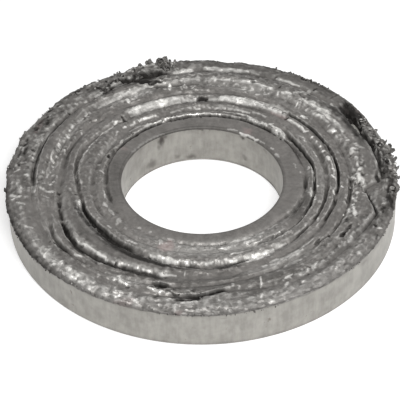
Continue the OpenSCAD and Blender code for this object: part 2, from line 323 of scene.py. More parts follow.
@dataclass(frozen=True)
class CreaseTables:
    """The six creases and seven folds of the upper face, as in the part's source.

    One faint groove, at 355 to 359 degrees, is pressed shut here.

    A crease row is angle, place, depth, inner flank, bed, outer flank. Place, flanks and bed are in
    percent of the face width from the bore, and depth is in percent of the height.
    The other tables hold one value for each angle. Lifts are how far the folds stand above the nominal
    height, in percent of it. Reach is how far the rim overhangs the wall, in percent of the face width.
    Fray, the height of the rim's lower edge and the drop of its shoulder are in hundredths of a
    millimetre, and fringe is how much darker the rim's edge is, in percent.
    """

    band: Table = (
        (0, 20, 5, 2, 1, 2), (10, 20, 2, 2, 1, 2), (32, 21, 4, 1, 1, 2), (39, 18, 11, 1, 1, 1),
        (48, 18, 12, 1, 1, 1), (56, 17, 13, 1, 1, 1), (64, 18, 11, 1, 1, 1), (76, 17, 12, 1, 1, 1),
        (93, 16, 14, 1, 1, 1), (108, 15, 13, 1, 1, 1), (113, 15, 5, 1, 1, 3), (117, 14, 13, 1, 1, 1),
        (145, 14, 12, 1, 1, 1), (151, 15, 6, 1, 1, 2), (165, 15, 5, 1, 1, 2), (178, 13, 5, 1, 1, 2),
        (198, 13, 5, 1, 1, 2), (215, 15, 3, 1, 1, 2), (245, 14, 2, 1, 1, 2), (283, 16, 4, 1, 1, 1),
        (300, 15, 2, 1, 1, 1), (320, 15, 2, 1, 1, 1), (332, 19, 6, 1, 1, 2), (350, 20, 7, 1, 1, 2))
    second: Table = (
        (0, 28, 9, 1, 1, 1), (12, 28, 9, 1, 1, 1), (25, 26, 8, 1, 1, 1), (36, 26, 5, 1, 1, 1),
        (50, 28, 2, 1, 1, 2), (70, 27, 3, 1, 1, 4), (90, 25, 5, 1, 1, 4), (108, 23, 5, 1, 1, 3),
        (125, 25, 5, 1, 1, 3), (140, 22, 3, 1, 1, 2), (158, 23, 3, 1, 1, 1), (180, 25, 3, 1, 1, 1),
        (204, 27, 4, 1, 1, 1), (215, 26, 1, 1, 1, 1), (234, 27, 3, 1, 1, 1), (250, 26, 1, 1, 1, 1),
        (290, 26, 1, 1, 1, 1), (304, 28, 7, 1, 1, 2), (314, 28, 5, 1, 1, 2), (320, 29, 2, 1, 1, 1),
        (332, 29, 5, 1, 1, 1), (345, 29, 8, 1, 1, 1))
    third: Table = (
        (0, 39, 5, 2, 1, 1), (20, 38, 3, 2, 1, 1), (45, 38, 1, 2, 1, 2), (62, 36, 3, 2, 1, 6),
        (86, 36, 4, 1, 1, 6), (90, 37, 13, 1, 1, 3), (94, 36, 4, 1, 1, 6), (127, 36, 4, 1, 1, 6),
        (131, 35, 12, 1, 1, 2), (135, 37, 4, 1, 1, 3), (150, 40, 5, 2, 1, 1), (158, 43, 6, 2, 2, 1),
        (167, 42, 7, 2, 2, 1), (176, 41, 7, 2, 1, 1), (184, 38, 4, 1, 1, 1), (195, 37, 6, 1, 1, 1),
        (201, 39, 16, 1, 2, 1), (210, 39, 19, 1, 5, 1), (221, 40, 20, 2, 6, 1), (229, 41, 18, 3, 5, 2),
        (234, 40, 17, 3, 2, 3), (242, 41, 17, 4, 2, 2), (249, 43, 15, 5, 1, 1), (260, 45, 12, 5, 1, 1),
        (271, 46, 10, 5, 1, 1), (276, 45, 14, 5, 2, 1), (286, 44, 14, 5, 2, 1), (293, 43, 10, 5, 1, 1),
        (300, 42, 8, 5, 1, 2), (309, 42, 6, 4, 1, 1), (318, 41, 6, 1, 1, 1), (345, 40, 8, 1, 1, 1))
    fourth: Table = (
        (0, 49, 16, 1, 1, 1), (13, 49, 15, 1, 1, 1), (15, 49, 6, 2, 1, 1), (17, 49, 15, 1, 1, 1),
        (30, 48, 16, 2, 1, 1), (46, 46, 14, 2, 1, 1), (50, 47, 4, 2, 1, 1), (62, 50, 2, 2, 1, 1),
        (115, 49, 3, 2, 1, 1), (150, 53, 3, 2, 1, 1), (163, 54, 5, 2, 2, 1), (176, 52, 5, 2, 2, 2),
        (187, 55, 3, 2, 1, 2), (194, 58, 4, 2, 1, 2), (205, 63, 8, 2, 1, 1), (212, 67, 12, 2, 1, 1),
        (220, 69, 14, 5, 2, 1), (233, 67, 14, 5, 2, 1), (246, 62, 16, 5, 3, 1), (257, 60, 6, 4, 1, 2),
        (268, 59, 2, 3, 1, 2), (280, 57, 2, 2, 1, 2), (295, 53, 2, 2, 1, 4), (318, 50, 3, 2, 1, 2),
        (335, 49, 6, 1, 1, 1), (345, 49, 7, 1, 1, 1), (349, 48, 3, 1, 1, 1), (353, 49, 11, 1, 1, 1))
    fifth: Table = (
        (0, 59, 5, 1, 1, 1), (15, 58, 3, 1, 1, 1), (30, 57, 1, 1, 1, 2), (60, 61, 2, 1, 1, 5),
        (90, 62, 2, 1, 1, 5), (103, 63, 4, 1, 1, 3), (107, 66, 11, 2, 1, 2), (112, 68, 6, 2, 1, 1),
        (117, 63, 2, 1, 1, 3), (135, 66, 2, 1, 1, 4), (150, 63, 3, 1, 1, 4), (163, 62, 5, 1, 1, 2),
        (180, 63, 2, 1, 1, 1), (200, 71, 1, 1, 1, 1), (211, 78, 7, 2, 1, 1), (216, 79, 9, 2, 1, 1),
        (224, 78, 5, 2, 1, 1), (235, 76, 2, 1, 1, 1), (250, 72, 3, 1, 1, 2), (255, 71, 17, 1, 4, 1),
        (259, 71, 3, 1, 1, 2), (281, 65, 3, 1, 1, 2), (316, 60, 2, 1, 1, 2), (320, 60, 8, 1, 1, 1),
        (326, 62, 4, 1, 1, 1), (350, 60, 5, 1, 1, 1))
    rim: Table = (
        (0, 88, 4, 2, 1, 2), (3, 88, 9, 2, 2, 2), (14, 87, 8, 2, 2, 2), (18, 87, 14, 3, 2, 2),
        (24, 86, 12, 3, 4, 2), (28, 87, 19, 4, 4, 2), (34, 88, 19, 4, 5, 2), (38, 89, 10, 3, 3, 2),
        (41, 84, 5, 1, 1, 1), (60, 82, 5, 1, 1, 3), (90, 80, 5, 1, 1, 3), (99, 79, 5, 1, 1, 3),
        (103, 80, 15, 1, 2, 3), (107, 79, 20, 1, 3, 3), (112, 80, 19, 1, 3, 2), (118, 80, 20, 1, 3, 2),
        (124, 78, 16, 1, 2, 2), (128, 77, 6, 1, 1, 2), (142, 78, 5, 1, 1, 2), (156, 80, 7, 2, 2, 2),
        (170, 79, 7, 2, 2, 1), (182, 78, 6, 2, 1, 1), (188, 80, 1, 1, 1, 1), (215, 85, 1, 1, 1, 1),
        (250, 85, 1, 1, 1, 1), (258, 83, 2, 1, 1, 1), (261, 82, 10, 1, 2, 1), (268, 80, 12, 1, 2, 1),
        (270, 78, 12, 1, 2, 1), (276, 74, 9, 1, 2, 1), (279, 75, 2, 2, 1, 2), (300, 83, 1, 3, 1, 3),
        (306, 83, 3, 2, 1, 2), (330, 84, 1, 3, 1, 3), (342, 88, 4, 1, 1, 1), (345, 84, 9, 1, 1, 1),
        (348, 79, 9, 1, 1, 1), (352, 74, 8, 1, 1, 1), (354, 74, 0, 1, 1, 1), (359, 87, 0, 1, 1, 1))
    lifts: tuple[Table, ...] = (
        ((0, 1),),
        ((0, 2), (8, 2), (14, -5), (34, -5), (42, 5), (70, 2), (130, 2), (160, -1), (190, 1),
         (230, 0), (310, 0), (330, -4), (344, -4), (349, 1)),
        ((0, 3), (40, 2), (60, 4), (90, 3), (110, 1), (150, 3), (180, 2), (200, 1), (250, 4),
         (270, 3), (290, 4), (310, 2), (330, 3)),
        ((0, 5), (14, 6), (46, 5), (75, 7), (84, 5), (90, 1), (97, 6), (125, 7), (131, 1),
         (150, 4), (180, 2), (225, 4), (245, 4), (270, 2), (300, 3), (320, 2)),
        ((0, 2), (45, 4), (90, 1), (130, 2), (180, 1), (220, 4), (250, 2), (290, 3), (320, 1)),
        ((0, 5), (40, 7), (80, 5), (105, 4), (118, 8), (145, 5), (180, 4), (200, 0), (230, 3),
         (260, 2), (300, 2), (330, 5)),
        ((0, 0), (20, -3), (34, -3), (40, 2), (78, 3), (82, 1), (86, 3), (98, 4), (102, 8),
         (110, 7), (120, 3), (145, 2), (180, 0), (205, -2), (230, 2), (250, 2), (270, -2),
         (300, 0), (330, 0), (350, -3)))
    reach: Table = (
        (0, 2), (16, 2), (20, -2), (34, -1), (39, 0), (78, 0), (82, -2), (86, 0), (99, 0), (102, 2), (107, 1),
        (116, -1), (124, -1), (130, 0), (155, 1), (159, 4), (163, 1), (172, 2), (174, 4), (177, 2), (190, 3),
        (215, 3), (226, 1), (245, 1), (262, 0), (335, 0), (352, 1))
    fray: Table = (
        (0, 11), (18, 10), (26, 6), (40, 3), (56, 5), (92, 4), (100, 10), (126, 9), (134, 5), (160, 7),
        (178, 8), (214, 8), (244, 6), (262, 3), (325, 3), (345, 7))
    edge: Table = (
        (0, 236), (40, 246), (100, 238), (174, 234), (184, 212), (206, 212), (222, 222), (240, 232),
        (254, 238), (272, 238), (288, 250), (316, 248), (334, 236), (345, 240))
    shoulder: Table = (
        (0, 8), (40, 2), (100, 6), (172, 8), (184, 22), (222, 20), (240, 12), (256, 6), (330, 4), (350, 8))
    fringe: Table = (
        (0, 45), (20, 50), (40, 25), (55, 45), (66, 20), (96, 30), (104, 65), (128, 50), (140, 30), (176, 60),
        (186, 88), (212, 85), (222, 55), (236, 25), (250, 20), (262, 42), (284, 38), (296, 20), (316, 24),
        (330, 30), (344, 30))

    @property
    def creases(self) -> tuple[Table, ...]:
        """All creases from the bore to the rim."""
        return (self.band, self.second, self.third, self.fourth, self.fifth, self.rim)


@dataclass(frozen=True)
class StrokeTables:
    """Small marks on the upper face, found by angle and percent of the outer radius.

    A row is start angle, start radius, end angle, end radius, width in hundredths of a millimetre
    and strength in percent. A row of beads is start angle, end angle, radius, step in degrees, width
    and strength. Pits are pressed in with painted shade, rosy marks are faintly pink, and all others
    are raised with painted highlights.
    """

    painted_glints: Table = (
        (39.5, 89.6, 41, 91.6, 12, 60), (50.5, 91, 51.5, 90.8, 10, 70), (55, 91.2, 64, 91.5, 9, 85),
        (70, 91, 73, 91.1, 8, 60), (74, 91, 89, 90.8, 14, 85), (51.3, 87.2, 54, 83.8, 12, 80),
        (36, 83.6, 41, 82.4, 14, 70), (44, 83.9, 47, 81.6, 12, 75), (25, 81.8, 50, 81.6, 15, 65),
        (20, 81.9, 20.5, 79.9, 8, 55), (14.2, 81.6, 15, 80, 16, 85), (8.8, 81.4, 9.6, 80.8, 15, 100),
        (2.4, 81.5, 3.2, 81, 15, 100), (0, 81.6, 1, 79.6, 12, 80), (27, 78.9, 29, 75.5, 10, 75),
        (31, 78.6, 30.5, 77.1, 7, 60), (36.5, 80.4, 39.5, 78.2, 10, 85), (49.7, 79, 49, 74.9, 6, 85),
        (54.5, 82.2, 58, 81.2, 11, 80), (59.5, 80.7, 58.5, 78.3, 7, 70), (62.5, 81.6, 64, 79.4, 7, 100),
        (63, 81.6, 90, 81.2, 6, 50), (69, 77.9, 70, 75.5, 12, 70), (72, 76.7, 73.5, 74.9, 9, 65),
        (65.5, 74.5, 67, 73.5, 8, 60), (76, 79.5, 77, 78.3, 8, 60), (81, 79.6, 81.5, 78.6, 7, 55),
        (84.5, 81.6, 85, 79.6, 8, 60), (41, 74.4, 43, 70.9, 8, 75), (48.5, 69.8, 52, 69.9, 8, 60),
        (58, 70, 60, 68.2, 7, 65), (61, 66.2, 82, 65.2, 22, 95), (81, 65, 87, 64.6, 14, 80),
        (0, 68.2, 10.5, 67.8, 6, 60), (10.6, 67, 13, 66.9, 14, 100), (17, 65.9, 17.5, 66.2, 12, 100),
        (20.7, 65.7, 21.1, 66.1, 11, 100), (24.4, 65.9, 24.8, 66.2, 11, 100), (28.4, 65.8, 29, 66, 11, 100),
        (4.3, 67.5, 4.8, 67.7, 10, 100), (33, 66.7, 34.5, 64.7, 7, 90), (33.5, 65.6, 46, 65.4, 8, 100),
        (49, 66.8, 60, 67.6, 26, 50), (48, 65.6, 60, 65.6, 10, 80), (50, 68.4, 61, 68.4, 30, 55),
        (61, 68.6, 70, 68.4, 14, 60), (15, 61.7, 20, 61.6, 6, 45), (28, 60.5, 30.5, 62.2, 6, 50),
        (30.5, 62.2, 33, 60.5, 6, 50), (55, 59.9, 64, 59.2, 7, 60), (64, 58.9, 76, 58.4, 8, 75),
        (77.5, 58.3, 90, 57.8, 6, 75), (37.5, 53.7, 46.5, 54.7, 30, 100), (46, 54.8, 50, 55.4, 14, 85),
        (49.5, 57.6, 50, 53, 10, 55), (58, 52.8, 64, 55.6, 15, 85), (64, 56.2, 72, 55.4, 12, 75),
        (72, 55.5, 78, 54.7, 6, 55), (79, 52.6, 90, 52.4, 6, 60), (50, 54, 60, 53.2, 14, 75),
        (0, 57.8, 9.5, 57.7, 9, 80), (6.5, 55.2, 9, 55.7, 9, 90), (4, 50.7, 6, 51.2, 5, 35),
        (9, 49.3, 14, 49.2, 5, 40), (93, 89.3, 99.5, 89.2, 12, 80), (111, 92.4, 112.5, 91.8, 8, 55),
        (116, 93.3, 117, 92, 7, 60), (122, 92, 124.5, 89.1, 6, 70), (126.5, 88.7, 130, 88, 9, 70),
        (133.5, 88.9, 135, 88.1, 8, 60), (111, 81.2, 120, 80.4, 12, 60), (119, 80.2, 133, 79.6, 14, 60),
        (108.5, 81.2, 112, 81.4, 8, 60), (102.2, 79.6, 102.9, 74.6, 15, 100),
        (116.5, 79.6, 119.2, 74.2, 24, 70), (121, 76, 122, 73.2, 14, 100), (96.5, 78.8, 97, 74.5, 7, 80),
        (93, 74.6, 94, 73.5, 7, 60), (98, 75.2, 98, 73.4, 8, 60), (90, 80.8, 98, 80.4, 7, 50),
        (99, 65.5, 125.5, 65.4, 19, 100), (92.5, 64.5, 99, 63.8, 14, 70), (100, 63.2, 126, 63.2, 10, 60),
        (133, 65, 136, 63.8, 9, 70), (134.5, 66.7, 136, 65.7, 6, 50), (137, 63.7, 146, 64.2, 6, 75),
        (147, 64, 151, 63.2, 7, 65), (152, 63.5, 157, 63.9, 6, 75), (158, 64, 164, 64.4, 6, 70),
        (165, 64.7, 178, 65.4, 5, 55), (112.5, 56.8, 125, 57.9, 5, 85), (127, 57.6, 131, 57.4, 6, 60),
        (133, 58.2, 135.5, 57.9, 8, 75), (139, 57.6, 142, 57.3, 6, 45), (90, 57.6, 94, 57.6, 7, 60),
        (95, 58, 107, 56.3, 6, 55), (90, 52.3, 99, 52.2, 6, 70), (100, 52.1, 112, 51.8, 6, 80),
        (112, 51.3, 120, 51.1, 6, 60), (120.5, 51.3, 125.5, 51.5, 9, 65), (127, 52.5, 135, 53.7, 6, 45),
        (143, 51.6, 146, 51.5, 8, 45), (138, 81, 140, 80.4, 8, 75), (141, 80.3, 143, 79.6, 7, 65),
        (147, 81.1, 148, 80.1, 9, 85), (150, 80.4, 151, 79.2, 7, 65), (153, 80.1, 154, 78.1, 8, 75),
        (160, 80, 160.5, 79.3, 7, 65), (165, 78.5, 166, 77.5, 8, 75), (168, 78.8, 169.5, 78.1, 10, 95),
        (171, 78.5, 172, 77.3, 8, 85), (165, 80.7, 169, 79.6, 5, 55), (176, 79.7, 179.5, 79.3, 5, 55),
        (158, 89.9, 159, 89, 8, 85), (161, 90.3, 161.5, 89.3, 5, 55), (168, 90.2, 169, 88.9, 7, 75),
        (177, 91.3, 178, 89.2, 9, 100), (165, 97.6, 165.5, 96.1, 6, 75), (174.5, 94.8, 176, 96.9, 8, 75),
        (149, 73.7, 150, 72.9, 8, 75), (160, 57.1, 160.5, 56.3, 6, 55), (166, 55.3, 167, 54.4, 7, 65),
        (172, 53.3, 174, 51, 8, 55), (188, 98.7, 187, 93.2, 8, 75), (186.5, 80.2, 187, 76.3, 6, 55),
        (189, 82.3, 190.5, 79.2, 6, 45), (201, 96.4, 203, 93.6, 7, 55), (208, 96.6, 209, 94, 7, 45),
        (212, 96.7, 217, 98, 8, 55), (216, 98, 214.5, 91.9, 7, 65), (220, 98.3, 221, 96.8, 7, 55),
        (221.5, 95.2, 222, 92.6, 6, 60), (226, 96.1, 226.5, 94.2, 10, 95), (226, 98.2, 230, 98.4, 10, 75),
        (213, 97.4, 218, 97, 34, 14), (222, 96.4, 229, 97, 46, 14), (228, 96, 236, 97.4, 50, 20),
        (238, 96.6, 246, 97.6, 44, 16), (247, 97.4, 252, 97, 34, 14), (231, 98.2, 233, 96.6, 8, 65),
        (236, 98.3, 236.5, 96.1, 6, 75), (241, 97.6, 242, 96.1, 7, 65), (244, 97.9, 245, 96.1, 8, 85),
        (249.5, 97.6, 250.5, 95.9, 9, 100), (247, 94.5, 248, 92.1, 6, 65), (216, 79, 219, 78.5, 7, 70),
        (219, 78.5, 225, 77.6, 8, 80), (225, 77.6, 231.5, 77.5, 9, 85), (231.3, 77.5, 233, 79, 7, 95),
        (233, 79, 236, 77.4, 7, 80), (236, 77.2, 240, 75.7, 6, 70), (240, 75.5, 252, 75.2, 6, 70),
        (208, 64.3, 228, 65, 14, 16), (252, 75.4, 260, 75.2, 8, 70), (263, 74.9, 263, 71.9, 5, 60),
        (241, 85.2, 243, 88.8, 10, 75), (243, 87.9, 246, 89.2, 8, 75), (239.5, 86.6, 241, 83.9, 7, 65),
        (222, 86.3, 225, 84.7, 6, 55), (252, 87.6, 257.5, 87.8, 12, 100), (251.6, 87.5, 252.2, 84, 7, 85),
        (194.5, 64.1, 198.5, 66, 9, 90), (197, 66.6, 205, 69.8, 6, 60), (246, 64.2, 254, 64.8, 11, 100),
        (252, 64.8, 258.5, 65.6, 16, 100), (259, 65.5, 272, 64.8, 7, 30), (232, 61.3, 237, 60.3, 9, 55),
        (217, 60.6, 220, 60.5, 8, 45), (262, 65, 264, 66, 9, 75), (257, 54.1, 258, 53.1, 9, 55),
        (245, 51.8, 247, 54.5, 6, 65), (201, 54.4, 203, 53.9, 10, 35), (208, 53.3, 209.5, 52.9, 11, 35),
        (217, 53.2, 218.5, 55.6, 11, 25), (229, 49.3, 231, 48.9, 8, 45), (236, 49.1, 238, 48.8, 7, 50),
        (249, 49.1, 253, 48.8, 6, 50), (191, 50.8, 197, 51.8, 6, 55), (220, 66, 223, 66, 8, 35),
        (271, 66, 274, 64.6, 12, 80), (280, 65, 292, 64.9, 6, 90), (290, 65.2, 303, 64.9, 11, 100),
        (304, 64.7, 310, 65, 8, 70), (219.5, 65, 222, 65.2, 6, 55), (286, 67, 292, 68.2, 10, 45),
        (288, 68.2, 299, 68.2, 12, 70), (292, 66.8, 303, 66.2, 13, 60), (281.6, 55.2, 284.4, 54.8, 9, 100),
        (280, 54.5, 283, 54.1, 6, 65), (292.5, 54.1, 298, 54.4, 11, 65), (302, 54.8, 304, 53.7, 8, 45),
        (293, 51.2, 300, 51.4, 8, 50), (305, 51.5, 307.5, 51.2, 9, 50), (310, 51.2, 317, 51.6, 7, 50),
        (283, 61.4, 293, 61.1, 7, 45), (307, 60.4, 317, 61, 7, 45), (313, 56.9, 314, 56.6, 6, 65),
        (293.5, 74.6, 295.5, 73.5, 9, 85), (297.5, 72.5, 312, 74.2, 10, 60), (312, 73.2, 320, 72.8, 8, 45),
        (289, 87.3, 291, 79.6, 7, 95), (287.5, 94.7, 288.5, 92.3, 7, 75), (280, 83.3, 280.5, 80.6, 9, 75),
        (281, 88.5, 281, 87.4, 7, 60), (282, 85.3, 282.5, 83.9, 7, 60), (296.5, 91, 298, 89.4, 10, 85),
        (297, 87, 301, 86.3, 7, 60), (303, 88.2, 307, 87.3, 11, 60), (308, 88.8, 311, 86.7, 11, 65),
        (323, 88.9, 325, 87.7, 9, 45), (325.5, 88.6, 328, 88.2, 12, 60), (337, 98.3, 336, 96.5, 7, 85),
        (337.5, 83.4, 340.6, 81.6, 11, 100), (341, 81.6, 342.5, 80.4, 8, 80),
        (338.4, 80.2, 341.2, 77.8, 11, 95), (345, 81.1, 347, 79, 11, 55), (355.6, 82.4, 359.6, 80.5, 18, 100),
        (358, 78.7, 360, 76.7, 12, 85), (353, 72.8, 354.5, 71.8, 8, 95), (350.5, 84.5, 351, 82.9, 6, 55),
        (348.5, 68.7, 350.5, 67.8, 7, 75), (357, 68.7, 360, 67.1, 9, 95), (342, 60.5, 345, 59, 11, 65),
        (352, 59.8, 353.5, 59.3, 9, 75), (346, 57.5, 351, 56.5, 13, 80), (348, 55.7, 350, 54.1, 11, 45),
        (336.5, 56.5, 337, 55.4, 6, 55), (330, 60.6, 331, 58.2, 9, 45), (329.5, 68.1, 331, 67.1, 9, 45),
        (186, 99, 187.5, 94, 11, 80), (183.4, 94, 185.6, 93.4, 12, 35), (186.6, 80.6, 187.5, 77.4, 9, 75),
        (182.6, 87.2, 186.5, 86.8, 12, 50), (185, 83.4, 187, 80.4, 12, 50), (38, 92.6, 39.6, 89.8, 15, 65),
        (40, 72.8, 42.4, 71.8, 10, 85), (301, 78.8, 308, 79.4, 12, 45), (297, 74.8, 312, 74.8, 14, 40),
        (190, 96.5, 192, 92, 8, 60), (181, 96, 184, 92.5, 8, 60), (200, 53.6, 204, 53.4, 10, 45),
        (207, 53, 212, 52.8, 13, 32), (216, 51.5, 218.5, 54.4, 18, 40), (245, 50.5, 248, 54, 9, 40),
        (286, 51.2, 298, 51.2, 12, 55), (299, 51.4, 307, 51.6, 10, 50), (3, 100.6, 9, 98, 9, 90),
        (13, 100.2, 24, 99.8, 16, 90), (32.5, 79.2, 37, 78.6, 9, 60), (99.5, 98.8, 103, 98.2, 14, 90),
        (105, 98.6, 110, 97.6, 14, 90), (8, 96.5, 13, 95, 9, 60))
    beads: Table = (
        (138, 150, 80, 1.9, 11, 90), (150, 163, 78.6, 2.1, 11, 90), (163, 184, 77.6, 2.2, 11, 90),
        (150, 160, 91, 2.6, 9, 55), (160, 190, 92, 4, 10, 60), (92, 126, 76, 2.2, 9, 70),
        (62, 92, 77, 2.6, 9, 60), (40, 62, 78, 2.4, 10, 70), (20, 40, 79.5, 3, 10, 60),
        (205, 250, 95.8, 2.4, 12, 28), (212, 245, 91.5, 3, 12, 35), (250, 330, 93, 2, 10, 50),
        (226, 262, 87, 2.6, 11, 45), (252, 300, 54, 3, 10, 30), (340, 356, 80, 2.6, 11, 85),
        (300, 340, 87, 2.6, 10, 50), (152, 180, 64.6, 2, 7, 60))
    lip: Table = (
        (23, 43.5, 27, 43, 10, 65), (32, 43.5, 34.5, 43, 8, 55), (40, 43, 45, 43, 7, 40),
        (46, 42.8, 49, 42.5, 8, 80), (49, 42.6, 62, 42.2, 9, 90), (64, 42.8, 71, 42.5, 7, 60),
        (118, 42.3, 150, 42.6, 8, 22))
    pits: Table = (
        (37, 52, 50, 51.6, 4, 70), (53, 51.5, 62, 51.5, 6, 95), (62, 52, 67, 52.5, 5, 80),
        (73, 52, 90, 51, 5, 80), (90, 50.9, 96, 50.7, 6, 85), (97, 49.9, 109, 49.5, 8, 100),
        (116, 49.9, 128, 50.1, 7, 90), (128, 50, 145, 49.5, 7, 95), (145, 49.5, 151, 50.3, 6, 65),
        (36, 53.6, 20, 54.6, 8, 40), (253.5, 84.3, 257.5, 84.6, 14, 100), (263, 91.3, 269, 89.6, 14, 100),
        (109, 84, 113, 84.7, 8, 90), (105, 82.2, 109, 82.8, 9, 95), (198, 63.8, 206, 64.2, 6, 60),
        (206, 64.2, 214, 64.7, 6, 60), (214, 64.7, 222, 65.8, 6, 55), (205, 78.6, 214, 79.8, 9, 80),
        (214, 79.8, 220, 80.8, 10, 85), (220, 80.8, 231, 79.4, 10, 85), (187, 74.5, 188.5, 74.1, 9, 65),
        (193.5, 75.1, 197, 75.6, 11, 70), (199, 76.1, 203, 76.8, 9, 65), (26, 90, 30, 93, 30, 85),
        (30, 91, 36, 95, 30, 75), (34, 93, 38, 97, 20, 65), (17, 93.8, 20, 93, 20, 75),
        (20, 90, 26, 91, 12, 55), (104, 89.6, 111, 90.2, 24, 95), (107, 81.9, 110, 82.6, 10, 75),
        (113, 86.1, 118, 91.6, 18, 75), (101, 91.6, 103, 99.2, 12, 70), (0, 89.7, 6, 92.6, 10, 50),
        (8, 92.5, 14, 94.1, 12, 55), (341, 69.6, 350, 69.6, 5, 30), (236, 84.5, 243, 82.6, 8, 40),
        (258, 86.8, 262, 89.2, 8, 55), (27, 91, 31, 94, 24, 90), (36, 94.5, 38, 97.4, 12, 70),
        (17, 93.8, 20, 93.3, 14, 70), (55, 98.5, 57, 99, 16, 65), (50, 96, 50, 92.6, 6, 70),
        (43, 98, 43, 93.4, 5, 45), (64, 92.6, 64.5, 91.3, 6, 60), (50.5, 69.5, 50, 66.3, 8, 60),
        (55, 69.3, 56, 67, 8, 55), (46, 66.4, 47, 64, 9, 70), (30, 59.9, 31.5, 59.3, 7, 50),
        (68, 54.4, 70.5, 53.8, 6, 60), (105, 90, 110, 90.3, 18, 100), (109.5, 83, 113, 84.1, 8, 95),
        (107, 79, 108, 77.4, 11, 65), (103, 94.5, 102.5, 90, 7, 85), (117.5, 90.2, 119, 93, 9, 90),
        (113, 91.1, 117, 86.2, 13, 85), (121, 93, 125, 88.5, 7, 80), (124.5, 84.5, 124, 82.9, 6, 65),
        (126, 91.3, 127.5, 94.1, 9, 80), (129, 95.1, 130, 95.7, 8, 55), (133.5, 97.6, 134, 94.9, 7, 65),
        (87.5, 65.4, 91.6, 65.2, 17, 100), (129.8, 66.5, 130.8, 61.4, 9, 60), (130, 63.2, 130.5, 59.9, 8, 75),
        (147.5, 96.2, 148, 95.4, 10, 60), (153.5, 97, 155, 95.8, 12, 65), (159, 97.5, 161, 96.8, 9, 45),
        (164, 95.4, 167, 95, 13, 75), (172, 96.3, 173, 95.4, 9, 45), (142, 88.5, 142.5, 88.1, 9, 75),
        (157, 52.4, 160, 52.3, 11, 90), (152, 51.7, 158, 51.1, 15, 40), (190.5, 66.4, 191, 64.8, 7, 75),
        (188, 75.3, 188.5, 73.7, 7, 55), (193, 75.6, 196, 74.9, 9, 65), (197.5, 76.6, 201, 76.5, 7, 65),
        (202, 76.8, 204, 77.4, 7, 65), (205, 78.5, 214, 79.8, 10, 80), (211.5, 90.4, 212, 90, 6, 65),
        (213, 89.3, 219, 87.2, 8, 75), (245, 90.2, 246, 89.8, 10, 65), (253.8, 83, 256.5, 83.3, 13, 100),
        (255, 92.8, 255.5, 89.8, 10, 50), (261.5, 92, 266, 90, 11, 100), (266, 90, 270, 88.4, 6, 70),
        (270, 87, 277, 84.9, 6, 85), (278.5, 51.6, 283, 50.7, 7, 70), (302, 57.2, 309, 56.7, 10, 75),
        (318, 76, 321.5, 75.6, 8, 60), (323, 79.6, 325.5, 77, 8, 75), (325.4, 84.2, 328, 84, 15, 100),
        (328, 83.7, 333, 84.2, 12, 85), (333.5, 81.5, 335.5, 79.6, 11, 50), (332, 99, 334, 97.8, 7, 60),
        (336.5, 95.4, 337.5, 93.5, 9, 70), (344, 91.5, 347, 88.1, 7, 95), (347, 88.1, 351, 85.6, 7, 95),
        (351, 85.6, 352, 83.7, 8, 60), (305.5, 89.3, 306, 89.4, 6, 60), (281, 76.3, 283, 75.7, 7, 45),
        (345, 76.5, 346.5, 74.8, 11, 45), (355, 98.3, 357, 97.2, 20, 100), (350, 98.6, 352, 95.7, 15, 65),
        (358, 90.3, 360, 89.7, 15, 85), (236, 77.8, 246, 76.8, 7, 100), (246, 76.8, 254, 76.9, 6, 90),
        (231, 79.6, 236, 78.8, 7, 90), (106, 82.6, 113, 85, 8, 90), (104, 88, 111, 90.4, 10, 80))
    rosy: Table = (
        (250.5, 59, 251, 51, 45, 80), (46, 65, 55, 64.5, 15, 50), (57, 46, 58, 44, 40, 45),
        (148, 46, 149, 49, 20, 30), (355, 98, 357, 97, 22, 60), (33, 99, 38, 95, 20, 45),
        (150, 97, 156, 95, 18, 45), (262, 101, 264, 99, 18, 40), (244, 101, 250, 97, 25, 30))


